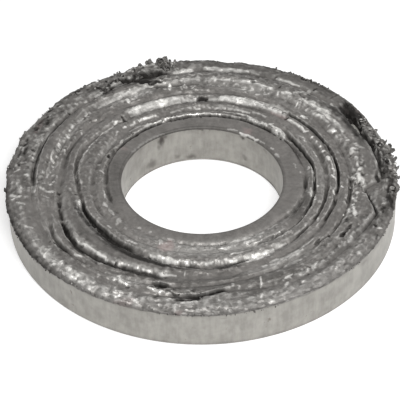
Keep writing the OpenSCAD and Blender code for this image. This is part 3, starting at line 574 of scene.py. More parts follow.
@dataclass(frozen=True)
class PatchTables:
    """Soft-edged patches of the upper face, which lie between the small marks and the whole.

    A row is middle angle, half angle, middle radius, half width and strength. Both radii are shares of
    the outer radius. A tone above 0 paints a highlight, and one below 0 paints shade.
    """

    calm: Table = (
        (23, 13, 0.555, 0.03, 0.75), (332, 12, 0.555, 0.03, 0.75), (203, 14, 0.9, 0.08, 0.6),
        (60, 30, 0.955, 0.05, 0.45), (226, 24, 0.725, 0.035, 0.75), (333, 14, 0.74, 0.03, 0.6),
        (285, 18, 0.8, 0.05, 0.5), (10, 20, 0.87, 0.025, 0.6), (156, 20, 0.84, 0.02, 0.6),
        (168, 14, 0.765, 0.02, 0.7), (45, 14, 0.9, 0.03, 0.5), (12, 26, 0.63, 0.03, 0.4),
        (310, 22, 0.7, 0.03, 0.5), (170, 14, 0.7, 0.015, 0.5))
    highlight_and_shade_patches: Table = (
        (275, 38, 0.555, 0.07, 0.2), (290, 40, 0.955, 0.05, 0.14), (232, 22, 0.965, 0.04, 0.07),
        (204, 20, 0.99, 0.015, -0.4), (70, 50, 0.82, 0.05, 0.1), (4, 16, 0.975, 0.03, -0.3),
        (31, 8, 0.94, 0.04, -0.45), (19, 5, 0.92, 0.025, -0.35), (78, 40, 0.97, 0.04, -0.27),
        (75, 34, 0.885, 0.02, -0.2), (50, 8, 0.96, 0.05, -0.1), (250, 34, 0.72, 0.04, -0.08),
        (108, 16, 0.78, 0.05, -0.12), (285, 30, 0.6, 0.03, -0.05), (100, 46, 0.93, 0.08, -0.16),
        (158, 27, 0.93, 0.075, -0.28), (18, 22, 0.89, 0.035, -0.16), (222, 20, 0.735, 0.035, -0.3),
        (28, 11, 0.88, 0.028, -0.8), (250, 44, 0.82, 0.045, -0.12), (150, 26, 0.84, 0.03, -0.12),
        (216, 22, 0.68, 0.014, -0.8), (236, 14, 0.692, 0.018, -1.05), (247, 9, 0.696, 0.013, -0.9),
        (258, 8, 0.7, 0.008, -0.7), (246, 9, 0.795, 0.012, -1.2), (221, 5, 0.833, 0.009, -0.9),
        (254.5, 2.6, 0.866, 0.008, -0.9), (242, 5, 0.865, 0.032, 0.24), (248, 3, 0.846, 0.02, 0.14),
        (206, 6, 0.86, 0.02, 0.1), (254, 5, 0.94, 0.03, -0.14), (279.5, 6, 0.698, 0.009, -0.9),
        (337, 13, 0.555, 0.026, -0.32), (333, 13, 0.527, 0.009, 0.2), (328, 15, 0.875, 0.022, -0.24),
        (305, 10, 0.77, 0.035, 0.1), (292, 6, 0.75, 0.02, 0.12), (286, 4, 0.89, 0.035, -0.28),
        (277, 9, 0.94, 0.04, -0.16), (44, 9, 0.862, 0.02, -0.22), (72, 32, 0.85, 0.02, -0.22),
        (74, 11, 0.76, 0.025, 0.16), (52, 7, 0.745, 0.02, 0.1), (152, 5, 0.95, 0.025, -0.3),
        (5, 8, 0.96, 0.02, -0.5), (28, 14, 0.684, 0.009, -0.7), (5, 8, 0.65, 0.012, 0.08),
        (58, 36, 0.992, 0.016, -0.4), (134, 14, 0.992, 0.014, -0.35), (196, 14, 0.975, 0.03, -0.2),
        (109.5, 4.5, 0.852, 0.018, -0.65), (115.5, 4, 0.852, 0.018, -0.55), (124, 4, 0.855, 0.012, -0.3),
        (107.5, 2.2, 0.775, 0.025, -0.35), (120, 10, 0.775, 0.032, 0.2), (90, 6, 0.632, 0.028, -0.4),
        (153, 10, 0.548, 0.012, 0.2), (168, 13, 0.5, 0.01, 0.12), (163, 13, 0.865, 0.012, -0.08),
        (162, 9, 0.889, 0.008, 0.25), (168, 20, 0.705, 0.035, -0.2), (185, 24, 0.94, 0.05, -0.08),
        (4, 9, 0.5725, 0.007, 0.25), (25, 12, 0.576, 0.005, 0.1), (72, 18, 0.595, 0.03, -0.12),
        (165, 22, 0.6, 0.03, -0.22), (285, 18, 0.6, 0.03, -0.1), (248, 12, 0.96, 0.04, -0.08),
        (112, 13, 0.9, 0.045, -0.4), (177, 24, 0.455, 0.035, -0.34), (215, 26, 0.97, 0.03, 0.12),
        (343, 20, 0.56, 0.035, -0.12), (20, 22, 0.545, 0.02, -0.16), (352, 8, 0.98, 0.025, -0.4),
        (222, 26, 0.655, 0.03, -0.2), (285, 22, 0.82, 0.07, -0.2), (260, 20, 0.8, 0.04, -0.1),
        (34, 5, 0.955, 0.04, -0.9), (14, 26, 0.62, 0.03, 0.08), (60, 34, 0.53, 0.025, -0.12),
        (101, 2.5, 0.875, 0.015, 0.2), (101.5, 3, 0.96, 0.03, 0.15), (127.5, 3, 0.925, 0.018, -0.5),
        (211, 6, 0.778, 0.012, -0.4), (219, 8, 0.915, 0.03, -0.2), (342, 10, 0.95, 0.035, -0.2),
        (349, 5, 0.88, 0.02, -0.25), (195, 16, 0.74, 0.03, -0.12), (92, 5, 0.815, 0.02, -0.3),
        (121, 5, 0.8, 0.012, -0.2), (75, 16, 0.91, 0.03, -0.15), (315, 17, 0.9, 0.035, -0.22),
        (345, 14, 0.9, 0.035, -0.18), (345, 14, 0.965, 0.03, -0.2), (342, 12, 0.82, 0.03, -0.12),
        (250, 5, 0.662, 0.01, 0.15), (262, 2, 0.9, 0.01, -0.5), (128, 5, 0.99, 0.012, -0.3),
        (127, 4, 0.865, 0.03, -0.35), (30, 3.4, 0.937, 0.017, -0.9), (105, 5, 0.98, 0.02, 0.3),
        (162, 14, 0.779, 0.012, 0.2), (96, 3, 0.985, 0.02, -0.3))


class SheenShadeAndMarks:
    """Painted highlight, painted shade with dark marks, rose tint and liveliness of each point of a skin,
    from 0 to 1.
    """

    def __init__(self, shape: tuple[int, ...]) -> None:
        """Starts with no painted highlight, shade or marks.

        Args:
            shape: Rows and columns of the skin.
        """
        # painted highlight in red, painted shade with dark marks in green
        self.painted_highlight = np.zeros(shape)
        self.dark_and_shade = np.zeros(shape)
        self.rose = np.zeros(shape)
        self.lively = np.ones(shape)

    def colours(self) -> Array:
        """Red, green, blue and alpha for each point."""
        return np.stack([np.clip(p, 0, 1) for p in (self.painted_highlight, self.dark_and_shade, self.rose, self.lively)], -1)


@dataclass
class FaceGrid:
    """Points of the upper face while it is shaped: rows from the bore to the rim, columns round it."""

    degrees: Array
    radius: Array
    z: Array
    rough: Array
    sideways: Array
    outward: Array
    cloud: Array
    sheen_shade_and_marks: SheenShadeAndMarks

    def touch(self, row: tuple[float, ...], outer_r: float) -> tuple[Array, Array]:
        """How strongly one mark touches the points near it.

        Args:
            row: Start angle and radius, end angle and radius, width and strength.
            outer_r: Outer radius of the ring in millimetres.

        Returns:
            The columns within reach, and a value from 0 to 1 for each of their points.
        """
        start, start_r, end, end_r, width, strength = row
        width = width / 100
        centre = (start + end) / 2
        middle_r = (start_r + end_r) / 200 * outer_r
        away = from_angle(self.degrees, centre)
        reach = abs(end - start) / 2 + math.degrees((2.2 * width + 0.08) / middle_r)
        columns = np.nonzero(np.abs(away) < reach)[0]
        along = np.radians(away[columns])[None, :] * middle_r + self.sideways[:, columns]
        across = self.radius[:, columns] - middle_r + self.outward[:, columns]
        half = np.array([math.radians(end - start) / 2 * middle_r, (end_r - start_r) / 200 * outer_r])
        length = max(float(half @ half), 1e-9)
        place = np.clip((along * half[0] + across * half[1]) / length, -1, 1)
        gap = np.hypot(along - place * half[0], across - place * half[1]) / (width * (1 - 0.5 * place**4))
        if width < 0.1:
            return columns, strength / 100 * np.exp(-((gap / 0.85) ** 4))
        return columns, strength / 100 * self.cloud[:, columns] * np.exp(-(gap**4))


@dataclass
class UpperFace:
    """The smooth band round the bore and the crumpled ends of the turns, as five closed skins.

    Roughness is given for each fold from the bore outwards, and so are the rows of points over its
    crown. Swell is how far the rim bulges beyond the part's source, in hundredths of a millimetre at
    each angle. A frayed row is start angle, end angle, inner and outer radius in percent of the outer
    radius, and how many short marks lie there. Painted shade in the creases starts so many millimetres
    below the crests and deepens over so many more. The highest point is a share of the height.
    """

    sizes: RingSizes = field(default_factory=RingSizes)
    tables: CreaseTables = field(default_factory=CreaseTables)
    strokes: StrokeTables = field(default_factory=StrokeTables)
    patches: PatchTables = field(default_factory=PatchTables)
    columns: int = 1440
    noise: FoilNoise = field(default_factory=lambda: FoilNoise(Seed.FACE))
    fold_rough: tuple[float, ...] = (0.12, 0.75, 0.85, 0.9, 0.9, 1.2, 1.2)
    crown_steps: tuple[int, ...] = (4, 4, 4, 4, 5, 8, 4)
    swell: Table = (
        (0, 0), (26, 0), (31, 10), (37, 13), (41, 9), (48, 8), (52, 7), (56, 9), (59, 7), (63, 4), (72, 2),
        (80, 0), (95, 0), (96.5, 2), (98, 0), (122, 0), (126, 8), (134, 9), (141, 8), (144, 2), (150, 3),
        (155, 6), (158, 9), (160, 3), (170, 4), (190, 4), (198, 0))
    frayed: Table = (
        (342, 20, 92, 100, 90), (18, 38, 90, 98, 30), (98, 128, 88, 99, 70), (128, 182, 88, 99, 60),
        (355, 20, 78, 85, 40), (36, 60, 76, 86, 40), (136, 182, 74, 82, 40), (60, 100, 74, 84, 30))
    hairline_count: int = 150
    wrinkle_count: int = 560
    scratch_count: int = 520
    # painted shade in the creases starts this far below the crests, in millimetres
    crease_shade_from: float = 0.09
    crease_shade_over: float = 0.21
    # painted highlight on what stands out and painted shade in what lies low
    ridge_highlight: float = 0.3
    ridge_highlight_mm: float = 0.03
    hollow_shade: float = 0.4
    hollow_shade_mm: float = 0.035
    # painted shade on the bore's rounded edge, with more at the back where it hides the edge's highlight
    lip_shade: float = 0.22
    lip_patch: tuple[float, ...] = (100, 34, 0.5, 1, 0.2)
    highest: float = 1.09

    ARC = 5
    CROWN = 3
    RIDGE_LIFT = 0.4
    GROOVE_LIFT = -0.5
    BRIGHT_LIFT = 0.25
    PIT_LIFT = -1.2
    RIM_STEPS = (4, 5, 4, 3, 2, 2, 1)
    RIM_ROUGH = (1.1, 1.0, 0.9, 0.7, 0.4, 0.0, 0.0)
    EDGE_ROWS = 16
    FRINGE = (0.15, 0.35, 0.5, 0.65, 0.8, 0.9) + (1.0,) * 7
    PLACE = (Relief(Layer.PLACE, 50, 0.4), Relief(Layer.PLACE_FINE, 130, 0.2))
    DEPTH = (Relief(Layer.DEPTH, 45, 1.0), Relief(Layer.DEPTH_FINE, 110, 0.6))
    BED = Relief(Layer.BED, 110, 1.0)
    INNER_FLANK = Relief(Layer.INNER_FLANK, 90, 0.2)
    OUTER_FLANK = Relief(Layer.OUTER_FLANK, 90, 0.2)
    INNER_LIP = Relief(Layer.INNER_LIP, 110, 0.014)
    OUTER_LIP = Relief(Layer.OUTER_LIP, 110, 0.025)
    TEAR = (Relief(Layer.TEAR, 200, 1.0), Relief(Layer.TEAR_FINE, 430, 0.6))
    SAG = (Relief(Layer.SAG, 150, 1.0), Relief(Layer.SAG_FINE, 400, 0.6))
    WARP = Relief(Layer.WARP, 60, 0.5, 0.8)
    WAVES = Relief(Layer.WAVES, 30, 0.04, 1.1)
    DENTS = Relief(Layer.DENTS, 50, 0.036, 0.38)
    FLAKES = Relief(Layer.FLAKES, 120, 0.03, 0.3)
    FINE = Relief(Layer.FINE, 230, 0.02, 0.2)
    WRINKLES = Relief(Layer.WRINKLES, 190, 0.03, 1.1)
    SIDEWAYS = (Relief(Layer.SIDEWAYS, 130, 0.07, 0.5), Relief(Layer.SIDEWAYS_FINE, 330, 0.015, 0.22))
    OUTWARD = (Relief(Layer.OUTWARD, 130, 0.07, 0.5), Relief(Layer.OUTWARD_FINE, 330, 0.015, 0.22))
    CLOUD = (Relief(Layer.CLOUD, 60, 0.35, 0.07), Relief(Layer.CLOUD_BROAD, 110, 0.3, 0.3))
    # patches in the painted crease shade
    CREASE_SHADE_PATCHES = Relief(Layer.CREASE_SHADE_PATCHES, 60, 0.2, 0.3)
    TORN = Relief(Layer.TORN, 230, 0.5)

    def crest(self, fold: int, degrees: Array) -> Array:
        """Height of a fold's crest in millimetres at each angle."""
        return self.sizes.height * (1 + hundredths(self.tables.lifts[fold], degrees))

    def crease_stations(self, k: int, degrees: Array) -> list[tuple[Array, Array]]:
        """Five stations across a crease.

        Args:
            k: Which crease, counted from the bore.
            degrees: Angle of each column.

        Returns:
            Radius and height of the inner shoulder, the bed's two sides and middle, and the outer shoulder.
        """
        size = self.sizes
        percent = size.face_w / 100

        def given(column: CreaseColumn) -> Array:
            """What the crease's table says at each angle."""
            return round_value(self.tables.creases[k], column, degrees)

        def uneven(level: Level, *reliefs: Relief) -> Array:
            """A level made uneven in this crease's own way."""
            return self.noise.uneven(level, degrees, *reliefs, crease=k)

        place = uneven(given(CreaseColumn.PLACE), *self.PLACE)
        depth = given(CreaseColumn.DEPTH) / 100 * size.height
        bed = given(CreaseColumn.BED)
        wide = np.clip((bed - 1) / 4, 0, 1)
        depth = depth * np.clip(0.9 + (0.9 - 0.7 * wide) * uneven(0, *self.DEPTH), 0.12, 1.35)
        half_bed = 0.4 * bed * (1 + (0.4 - 0.32 * wide) * uneven(0, self.BED))
        softer = 2.2 * np.clip(1 - depth / 0.24, 0, 1)
        inner = given(CreaseColumn.INNER_FLANK) * uneven(1, self.INNER_FLANK) + softer
        outer = given(CreaseColumn.OUTER_FLANK) * uneven(1, self.OUTER_FLANK) + softer
        inner_z, outer_z = self.crest(k, degrees), self.crest(k + 1, degrees)
        bed_z = np.maximum(np.minimum(inner_z, outer_z) - depth, size.seat_z + 0.05)
        lip = np.clip(depth / 0.2, 0.2, 1)
        inner_lip = lip * uneven(0.012, self.INNER_LIP)
        outer_lip = lip * uneven(0.018, self.OUTER_LIP)
        spots = (
            (place - half_bed - inner, inner_z + inner_lip), (place - half_bed, bed_z),
            (place, bed_z - 0.01 + 0.09 * wide), (place + half_bed, bed_z),
            (place + half_bed + outer, outer_z + outer_lip))
        return [(size.bore_r + percent * p, z) for p, z in spots]

    def rim_stations(self, degrees: Array) -> list[tuple[Array, Array]]:
        """Stations from the rim's last shoulder over its frayed edge and down inside the wall.

        Args:
            degrees: Angle of each column.

        Returns:
            Radius and height of each station.
        """
        size = self.sizes
        crest = self.crest(6, degrees)
        reach = size.face_w * hundredths(self.tables.reach, degrees)
        fray = hundredths(self.tables.fray, degrees)
        tear, sag = (self.noise.uneven(0, degrees, *reliefs) for reliefs in (self.TEAR, self.SAG))
        drop = hundredths(self.tables.shoulder, degrees)
        edge_r = size.outer_r + 0.01 + RIM_HANG * reach + fray * tear
        swell = hundredths(self.swell, degrees)
        edge_r = np.minimum(edge_r, size.outer_r + 0.03 + np.maximum(reach, 0)) + 0.9 * swell
        edge_z = self.edge_height(degrees) + 0.8 * fray * sag + 0.4 * swell
        inward = 0.5 * np.minimum(0, reach) + 0.4 * fray * tear
        inside = np.full_like(degrees, size.outer_r - 0.03)
        return [
            (size.outer_r - 0.52 + inward, crest - 0.01 + 0.3 * fray * sag),
            (size.outer_r - 0.22 + inward, crest - 0.06 - 0.5 * drop + 0.5 * fray * sag + 0.5 * swell),
            (edge_r - 0.07, crest - 0.12 - drop + 0.4 * fray * sag + 0.8 * swell),
            (edge_r, edge_z + 0.06),
            (np.maximum(edge_r - 0.02, size.outer_r + 0.01), edge_z - 0.02),
            (inside, np.minimum(edge_z, self.edge_height(degrees)) - 0.04),
            (inside, np.full_like(degrees, size.seat_z))]

    def edge_height(self, degrees: Array) -> Array:
        """Height of the rim's lower edge in millimetres, before it frays."""
        return hundredths(self.tables.edge, degrees)

    def ladder(self, degrees: Array) -> tuple[Array, Array, list[int], Array]:
        """All rows of the face from the bore edge to the rim.

        Args:
            degrees: Angle of each column.

        Returns:
            Radius and height of each row, the row of each crease's middle, and each row's roughness.
        """
        size = self.sizes
        stations: list[tuple[Array, Array]] = []
        steps: list[int] = []
        rough: list[float] = []
        beds: list[int] = []
        level = np.zeros_like(degrees)

        def put(radius: Array, z: Array, count: int, roughness: float) -> None:
            """Adds a station.

            Args:
                radius: Its radius at each angle.
                z: Its height at each angle.
                count: In how many steps it is reached from the one before.
                roughness: How rough the foil is there.
            """
            stations.append((radius + level, z + level))
            steps.append(count)
            rough.append(roughness)

        for n in range(self.ARC):
            turn = math.radians(90 * n / (self.ARC - 1))
            put(size.bore_r + size.bore_edge * (1 - math.cos(turn)),
                size.height - size.bore_edge * (1 - math.sin(turn)), 1, 0.0)
        for k in range(6):
            crease = self.crease_stations(k, degrees)
            start_r, start_z = stations[-1]
            for n in range(1, self.CROWN + 1):
                t = n / (self.CROWN + 1)
                width = crease[0][0] - start_r
                dome = (0.01 if k == 0 else 0.1) * width * 4 * t * (1 - t)
                put(start_r + width * t, start_z + (crease[0][1] - start_z) * t + dome,
                    self.crown_steps[k], self.fold_rough[k])
            put(*crease[0], self.crown_steps[k], 0.8 * self.fold_rough[k])
            put(*crease[1], 3, 0.3)
            put(*crease[2], 2, 0.4)
            beds.append(len(stations) - 1)
            put(*crease[3], 2, 0.3)
            put(*crease[4], 3, 0.8 * self.fold_rough[k + 1])
        rim = self.rim_stations(degrees)
        middle = [(stations[-1][i] + rim[0][i]) / 2 for i in range(2)]
        put(middle[0], middle[1] + 0.02, self.crown_steps[6], self.fold_rough[6])
        for (radius, z), count, roughness in zip(rim, self.RIM_STEPS, self.RIM_ROUGH):
            put(radius, z, count, roughness)

        rows_r, rows_z, rows_rough, bed_rows = [stations[0][0]], [stations[0][1]], [0.0], []
        for n in range(1, len(stations)):
            for step in range(1, steps[n] + 1):
                t = step / steps[n]
                rows_r.append(stations[n - 1][0] * (1 - t) + stations[n][0] * t)
                rows_z.append(stations[n - 1][1] * (1 - t) + stations[n][1] * t)
                rows_rough.append(rough[n - 1] * (1 - t) + rough[n] * t)
            if n in beds:
                bed_rows.append(len(rows_r) - 1)
        return np.array(rows_r), np.array(rows_z), bed_rows, np.array(rows_rough)

    def crumple(self, grid: FaceGrid) -> Array:
        """Crumpled foil: waves, dents along the turns, and wrinkles across the outer turns.

        Args:
            grid: Points of the face.

        Returns:
            Height to add to each point in millimetres.
        """
        noise, radius = self.noise, grid.radius
        share = radius / self.sizes.outer_r
        wide = np.broadcast_to(grid.degrees, radius.shape)
        warp = noise.uneven(0, wide, self.WARP, across=radius)
        lumps = noise.uneven(0, wide, self.WAVES, across=radius)
        lumps = lumps + self.DENTS.strength * noise.creased(self.DENTS.points(wide, radius, warp))
        lumps = lumps + self.FLAKES.strength * noise.flaked(self.FLAKES.points(wide, radius, warp))
        lumps = lumps + self.FINE.strength * noise.smooth(self.FINE.points(wide, radius, warp))
        outward = np.clip((share - 0.76) / 0.14, 0, 1)
        wrinkles = noise.smooth(self.WRINKLES.points(wide, radius, warp))
        lumps = lumps + self.WRINKLES.strength * outward * wrinkles
        return grid.rough[:, None] * self.calmness(grid.degrees, share) * lumps

    def calmness(self, degrees: Array, share: Array) -> Array:
        """Less than 1 where the foil was pressed smooth.

        Args:
            degrees: Angle of each column.
            share: Radius of each point as a share of the outer radius.

        Returns:
            A factor for each point.
        """
        factor = np.ones_like(share)
        for row in self.patches.calm:
            factor *= 1 - patch(degrees, share, row)
        return factor

    def chance_marks(self) -> tuple[Table, Table]:
        """Hairlines and scratches along the turns and wrinkles across the outer ones, in seeded places.

        Returns:
            Rows of ridges and rows of grooves, laid out as in StrokeTables.
        """
        maker = np.random.default_rng(Seed.HAIRLINES.value)
        ridges, grooves = [], []

        def keep(row: tuple[float, ...], raised: float = 0.5) -> None:
            """Takes a mark as a ridge or as a groove, by chance."""
            (ridges if maker.random() < raised else grooves).append(row)

        for _ in range(self.hairline_count):
            angle, share, turn = maker.uniform(0, 360), maker.uniform(51, 93), maker.uniform(2, 9)
            drift = maker.normal(0, 0.5)
            keep((angle, share, angle + turn, share + drift, maker.uniform(5, 9), maker.uniform(10, 40)))
        for _ in range(self.wrinkle_count):
            share = 99.5 - 24 * maker.random() ** 1.7
            angle, length = maker.uniform(0, 360), maker.uniform(0.6, 3)
            lean = maker.normal(0, 0.7) * math.degrees(length / share)
            row = (angle, share, angle + lean, share - length, maker.uniform(7, 20), maker.uniform(10, 45))
            keep(row, raised=0.55)
        for _ in range(self.scratch_count):
            share, angle = maker.uniform(50, 90), maker.uniform(0, 360)
            length = maker.uniform(0.3, 2)
            keep((angle, share, angle + math.degrees(length / share), share + maker.normal(0, 0.5),
                  maker.uniform(6, 14), maker.uniform(15, 50)))
        for start, end, inner, outer, count in self.frayed:
            for _ in range(count):
                share, angle = maker.uniform(inner, outer), start + maker.random() * ((end - start) % 360)
                keep((angle, share, angle + maker.normal(0, 1.2), share + maker.normal(0, 0.8),
                      maker.uniform(6, 12), maker.uniform(35, 100)))
        return tuple(ridges), tuple(grooves)

    def bead_rows(self) -> Table:
        """Beads of foil in rows along the turns, raised with painted highlights.

        Returns:
            Rows of marks, laid out as in StrokeTables.
        """
        maker = np.random.default_rng(Seed.BEADS.value)
        rows = []
        for start, end, share, step, width, strength in self.strokes.beads:
            for angle in np.arange(start, end, step):
                angle, place = angle + maker.normal(0, 0.3 * step), share + maker.normal(0, 0.7)
                size = maker.uniform(0.1, 0.42)
                rows.append((angle, place - size, angle + maker.normal(0, 0.35), place + size,
                             width * maker.uniform(0.6, 1.5), strength * maker.uniform(0.25, 1)))
        return tuple(rows)

    def press(self, grid: FaceGrid, rows: Table, lift: float, calm: bool = False) -> Touches:
        """Presses marks into the face or raises them, one after another.

        Args:
            grid: Points of the face, changed in place.
            rows: Marks, laid out as in StrokeTables.
            lift: Height of a mark as a share of its width, below 0 for a groove.
            calm: Whether the marks are weaker where the foil was pressed smooth.

        Yields:
            The columns within reach of the mark, and how strongly it touches each of their points.
        """
        for row in rows:
            columns, touch = grid.touch(row, self.sizes.outer_r)
            if calm:
                touch *= grid.sheen_shade_and_marks.lively[:, columns]
            grid.z[:, columns] += lift * row[4] / 100 * touch
            yield columns, touch

    def mark(self, grid: FaceGrid) -> None:
        """Presses the small marks into the rows and paints their highlights and shade.

        Args:
            grid: Points of the face, changed in place.
        """
        painted_highlight, dark_and_shade, rose = grid.sheen_shade_and_marks.painted_highlight, grid.sheen_shade_and_marks.dark_and_shade, grid.sheen_shade_and_marks.rose
        ridges, grooves = self.chance_marks()
        # raised chance marks get a painted highlight, pressed ones get painted shade
        for columns, touch in self.press(grid, ridges, self.RIDGE_LIFT, calm=True):
            painted_highlight[:, columns] += 0.5 * touch * (1 - painted_highlight[:, columns])
        for columns, touch in self.press(grid, grooves, self.GROOVE_LIFT, calm=True):
            dark_and_shade[:, columns] += 0.6 * touch * (1 - dark_and_shade[:, columns])
        # painted glints on the bright strokes, the bore edge and the beads, then painted shade in the pits
        bright = self.strokes.painted_glints + self.strokes.lip + self.bead_rows()
        for columns, touch in self.press(grid, bright, self.BRIGHT_LIFT):
            painted_highlight[:, columns] = np.maximum(painted_highlight[:, columns], touch)
            dark_and_shade[:, columns] *= 1 - touch
        for columns, touch in self.press(grid, self.strokes.pits, self.PIT_LIFT):
            dark_and_shade[:, columns] = np.maximum(dark_and_shade[:, columns], touch)
            painted_highlight[:, columns] *= 1 - touch
        for columns, touch in self.press(grid, self.strokes.rosy, 0):
            rose[:, columns] = np.maximum(rose[:, columns], touch)

    def tone(self, grid: FaceGrid) -> None:
        """Paints highlights on some patches and shade on others.

        Args:
            grid: Points of the face, whose painted highlight and shade change in place.
        """
        share = grid.radius / self.sizes.outer_r
        for row in self.patches.highlight_and_shade_patches:
            here = patch(grid.degrees, share, row)
            grid.sheen_shade_and_marks.painted_highlight += np.maximum(here, 0)
            grid.sheen_shade_and_marks.dark_and_shade *= 1 - np.clip(2.5 * here, 0, 1)
            grid.sheen_shade_and_marks.dark_and_shade += np.maximum(-here, 0) * grid.cloud

    def paint_relief_light(self, grid: FaceGrid) -> None:
        """Paints highlights on what stands out of the surface and shade in what lies low.

        Args:
            grid: Points of the face, whose painted highlight and shade change in place.
        """
        stands = blurred(grid.z, 1, 1) - blurred(grid.z, 4, 6)
        strong = grid.rough[:, None].clip(0, 1)
        grid.sheen_shade_and_marks.painted_highlight += self.ridge_highlight * strong * np.clip(stands / self.ridge_highlight_mm - 0.3, 0, 1)
        grid.sheen_shade_and_marks.dark_and_shade += self.hollow_shade * strong * np.clip(-stands / self.hollow_shade_mm - 0.3, 0, 1)

    def shape(self) -> tuple[FaceGrid, list[int]]:
        """Every row of the finished face.

        Returns:
            The points of the face, and the row of each crease's middle.
        """
        degrees = np.arange(self.columns) * 360 / self.columns
        radius, z, beds, rough = self.ladder(degrees)
        for rows in (radius, z):
            rows[6:-3] = 0.25 * rows[5:-4] + 0.5 * rows[6:-3] + 0.25 * rows[7:-2]
        wide = np.broadcast_to(degrees, z.shape)
        sideways, outward = (self.noise.uneven(0, wide, *reliefs, across=radius)
                             for reliefs in (self.SIDEWAYS, self.OUTWARD))
        cloud = np.clip(self.noise.uneven(0.97, wide, *self.CLOUD, across=radius), 0.3, 1)
        grid = FaceGrid(degrees, radius, z, rough, sideways, outward, cloud, SheenShadeAndMarks(radius.shape))
        # Painted shade in the creases: darker the deeper a point lies below the fold crests, in patches.
        depth = np.clip((self.envelope(grid) - z - self.crease_shade_from) / self.crease_shade_over, 0, 1)
        patchy = self.noise.uneven(0.85, wide, self.CREASE_SHADE_PATCHES, across=radius)
        grid.sheen_shade_and_marks.dark_and_shade = np.where((np.arange(len(z)) < len(z) - self.EDGE_ROWS)[:, None], patchy * depth, 0)
        # Painted shade on the bore's rounded edge, more at the back.
        lip_share = np.full((1, len(degrees)), 0.5)
        grid.sheen_shade_and_marks.dark_and_shade[:self.ARC] = self.lip_shade + patch(degrees, lip_share, self.lip_patch)
        share = radius / self.sizes.outer_r
        grid.sheen_shade_and_marks.lively = 0.3 + 0.7 * np.clip(rough[:, None], 0, 1) * self.calmness(degrees, share)
        self.mark(grid)
        self.tone(grid)
        grid.z += self.crumple(grid)
        self.paint_relief_light(grid)
        grid.radius += 0.25 * rough[:, None] * sideways
        high = self.highest * self.sizes.height
        grid.z = np.where(grid.z > high, high + 0.5 * (grid.z - high), grid.z)
        # The rim's edge rows are made darker and their painted highlights dimmed.
        fringe = hundredths(self.tables.fringe, degrees)
        torn = np.clip(self.noise.uneven(1, degrees, self.TORN), 0.3, 1.2)
        for n, share in enumerate(self.FRINGE, len(z) - len(self.FRINGE)):
            grid.sheen_shade_and_marks.dark_and_shade[n] = np.maximum(grid.sheen_shade_and_marks.dark_and_shade[n], share * fringe * torn)
            grid.sheen_shade_and_marks.painted_highlight[n] *= 1 - 0.7 * share * fringe
        return grid, beds

    def envelope(self, grid: FaceGrid) -> Array:
        """Height of the folds' crests at each point, as if there were no creases.

        Args:
            grid: Points of the face.

        Returns:
            A height in millimetres for each point.
        """
        size, degrees, radius = self.sizes, grid.degrees, grid.radius
        places = [size.bore_r + size.face_w * hundredths(table, degrees) for table in self.tables.creases]
        crest = np.broadcast_to(self.crest(0, degrees), radius.shape).copy()
        for k, place in enumerate(places):
            crest = np.where(radius > place, self.crest(k + 1, degrees), crest)
        return crest

    def build(self) -> tuple[list[bpy.types.Object], FaceGrid]:
        """Makes the five skins.

        Returns:
            The pieces, from the bore to the rim, and the points of the face.
        """
        size = self.sizes
        grid, beds = self.shape()
        last_row = len(grid.z) - 1
        names = ("bore_lip", "inner_turns", "middle_turns", "outer_turns", "rim_turn")
        bounds = (0, beds[0], beds[2], beds[4], beds[5], last_row)
        colours = grid.sheen_shade_and_marks.colours()
        seat = np.full((1, self.columns), size.seat_z)
        pieces = []
        for name, first, last in zip(names, bounds, bounds[1:]):
            rows = slice(first, last + 1)
            r, h, c = [grid.radius[rows]], [grid.z[rows]], [colours[rows]]
            if first == 0:
                hidden = np.full((1, self.columns), size.bore_r + size.ledge)
                low = grid.z[:1] - size.joint
                r[:0], h[:0], c[:0] = [hidden, hidden, grid.radius[:1]], [seat, low, low], [colours[:1]] * 3
            else:
                r[:0], h[:0], c[:0] = [r[0][:1]], [seat], [c[0][:1]]
            if last < last_row:
                r.append(r[-1][-1:])
                h.append(seat)
                c.append(c[-1][-1:])
            pieces.append(closed_skin(name, grid.degrees, *(np.concatenate(values) for values in (r, h, c))))
        return pieces, grid


def patch(degrees: Array, share: Array, row: tuple[float, ...]) -> Array:
    """A soft-edged patch of the face.

    Args:
        degrees: Angle of each column.
        share: Radius of each point as a share of the outer radius.
        row: Place, size and strength, laid out as in PatchTables.

    Returns:
        A value from 0 to the strength for each point.
    """
    angle, half_angle, middle, half_width, strength = row
    away = from_angle(degrees, angle) / half_angle
    return strength * np.exp(-(away[None, :] ** 4) - ((share - middle) / half_width) ** 4)


def blurred(values: Array, rows: int, columns: int) -> Array:
    """Average of the points round each point.

    Args:
        values: Rows and columns of values, whose columns run round the ring.
        rows: How many rows are taken to each side.
        columns: How many columns are taken to each side.

    Returns:
        The averages.
    """
    total = sum(np.roll(values, n, axis=1) for n in range(-columns, columns + 1)) / (2 * columns + 1)
    padded = np.pad(total, ((rows, rows), (0, 0)), mode="edge")
    return sum(padded[n:n + len(values)] for n in range(2 * rows + 1)) / (2 * rows + 1)


def mesh_from(bm: bmesh.types.BMesh, name: str) -> bpy.types.Mesh:
    """Keeps a finished bmesh as a mesh and frees it.

    Args:
        bm: What was modelled.
        name: Name of the mesh.

    Returns:
        The mesh.
    """
    mesh = bpy.data.meshes.new(name)
    bm.to_mesh(mesh)
    bm.free()
    return mesh


def placed(name: str, data: bpy.types.ID) -> bpy.types.Object:
    """Puts a new object into the scene, at the origin, unturned and unscaled.

    Args:
        name: Name of the object.
        data: Its mesh, camera or lamp.

    Returns:
        The object.
    """
    thing = bpy.data.objects.new(name, data)
    bpy.context.scene.collection.objects.link(thing)
    return thing


def wrapped(values: Array) -> Array:
    """Grid values whose first row and first column also stand at the end."""
    values = np.concatenate([values, values[:1]])
    return np.concatenate([values, values[:, :1]], axis=1)


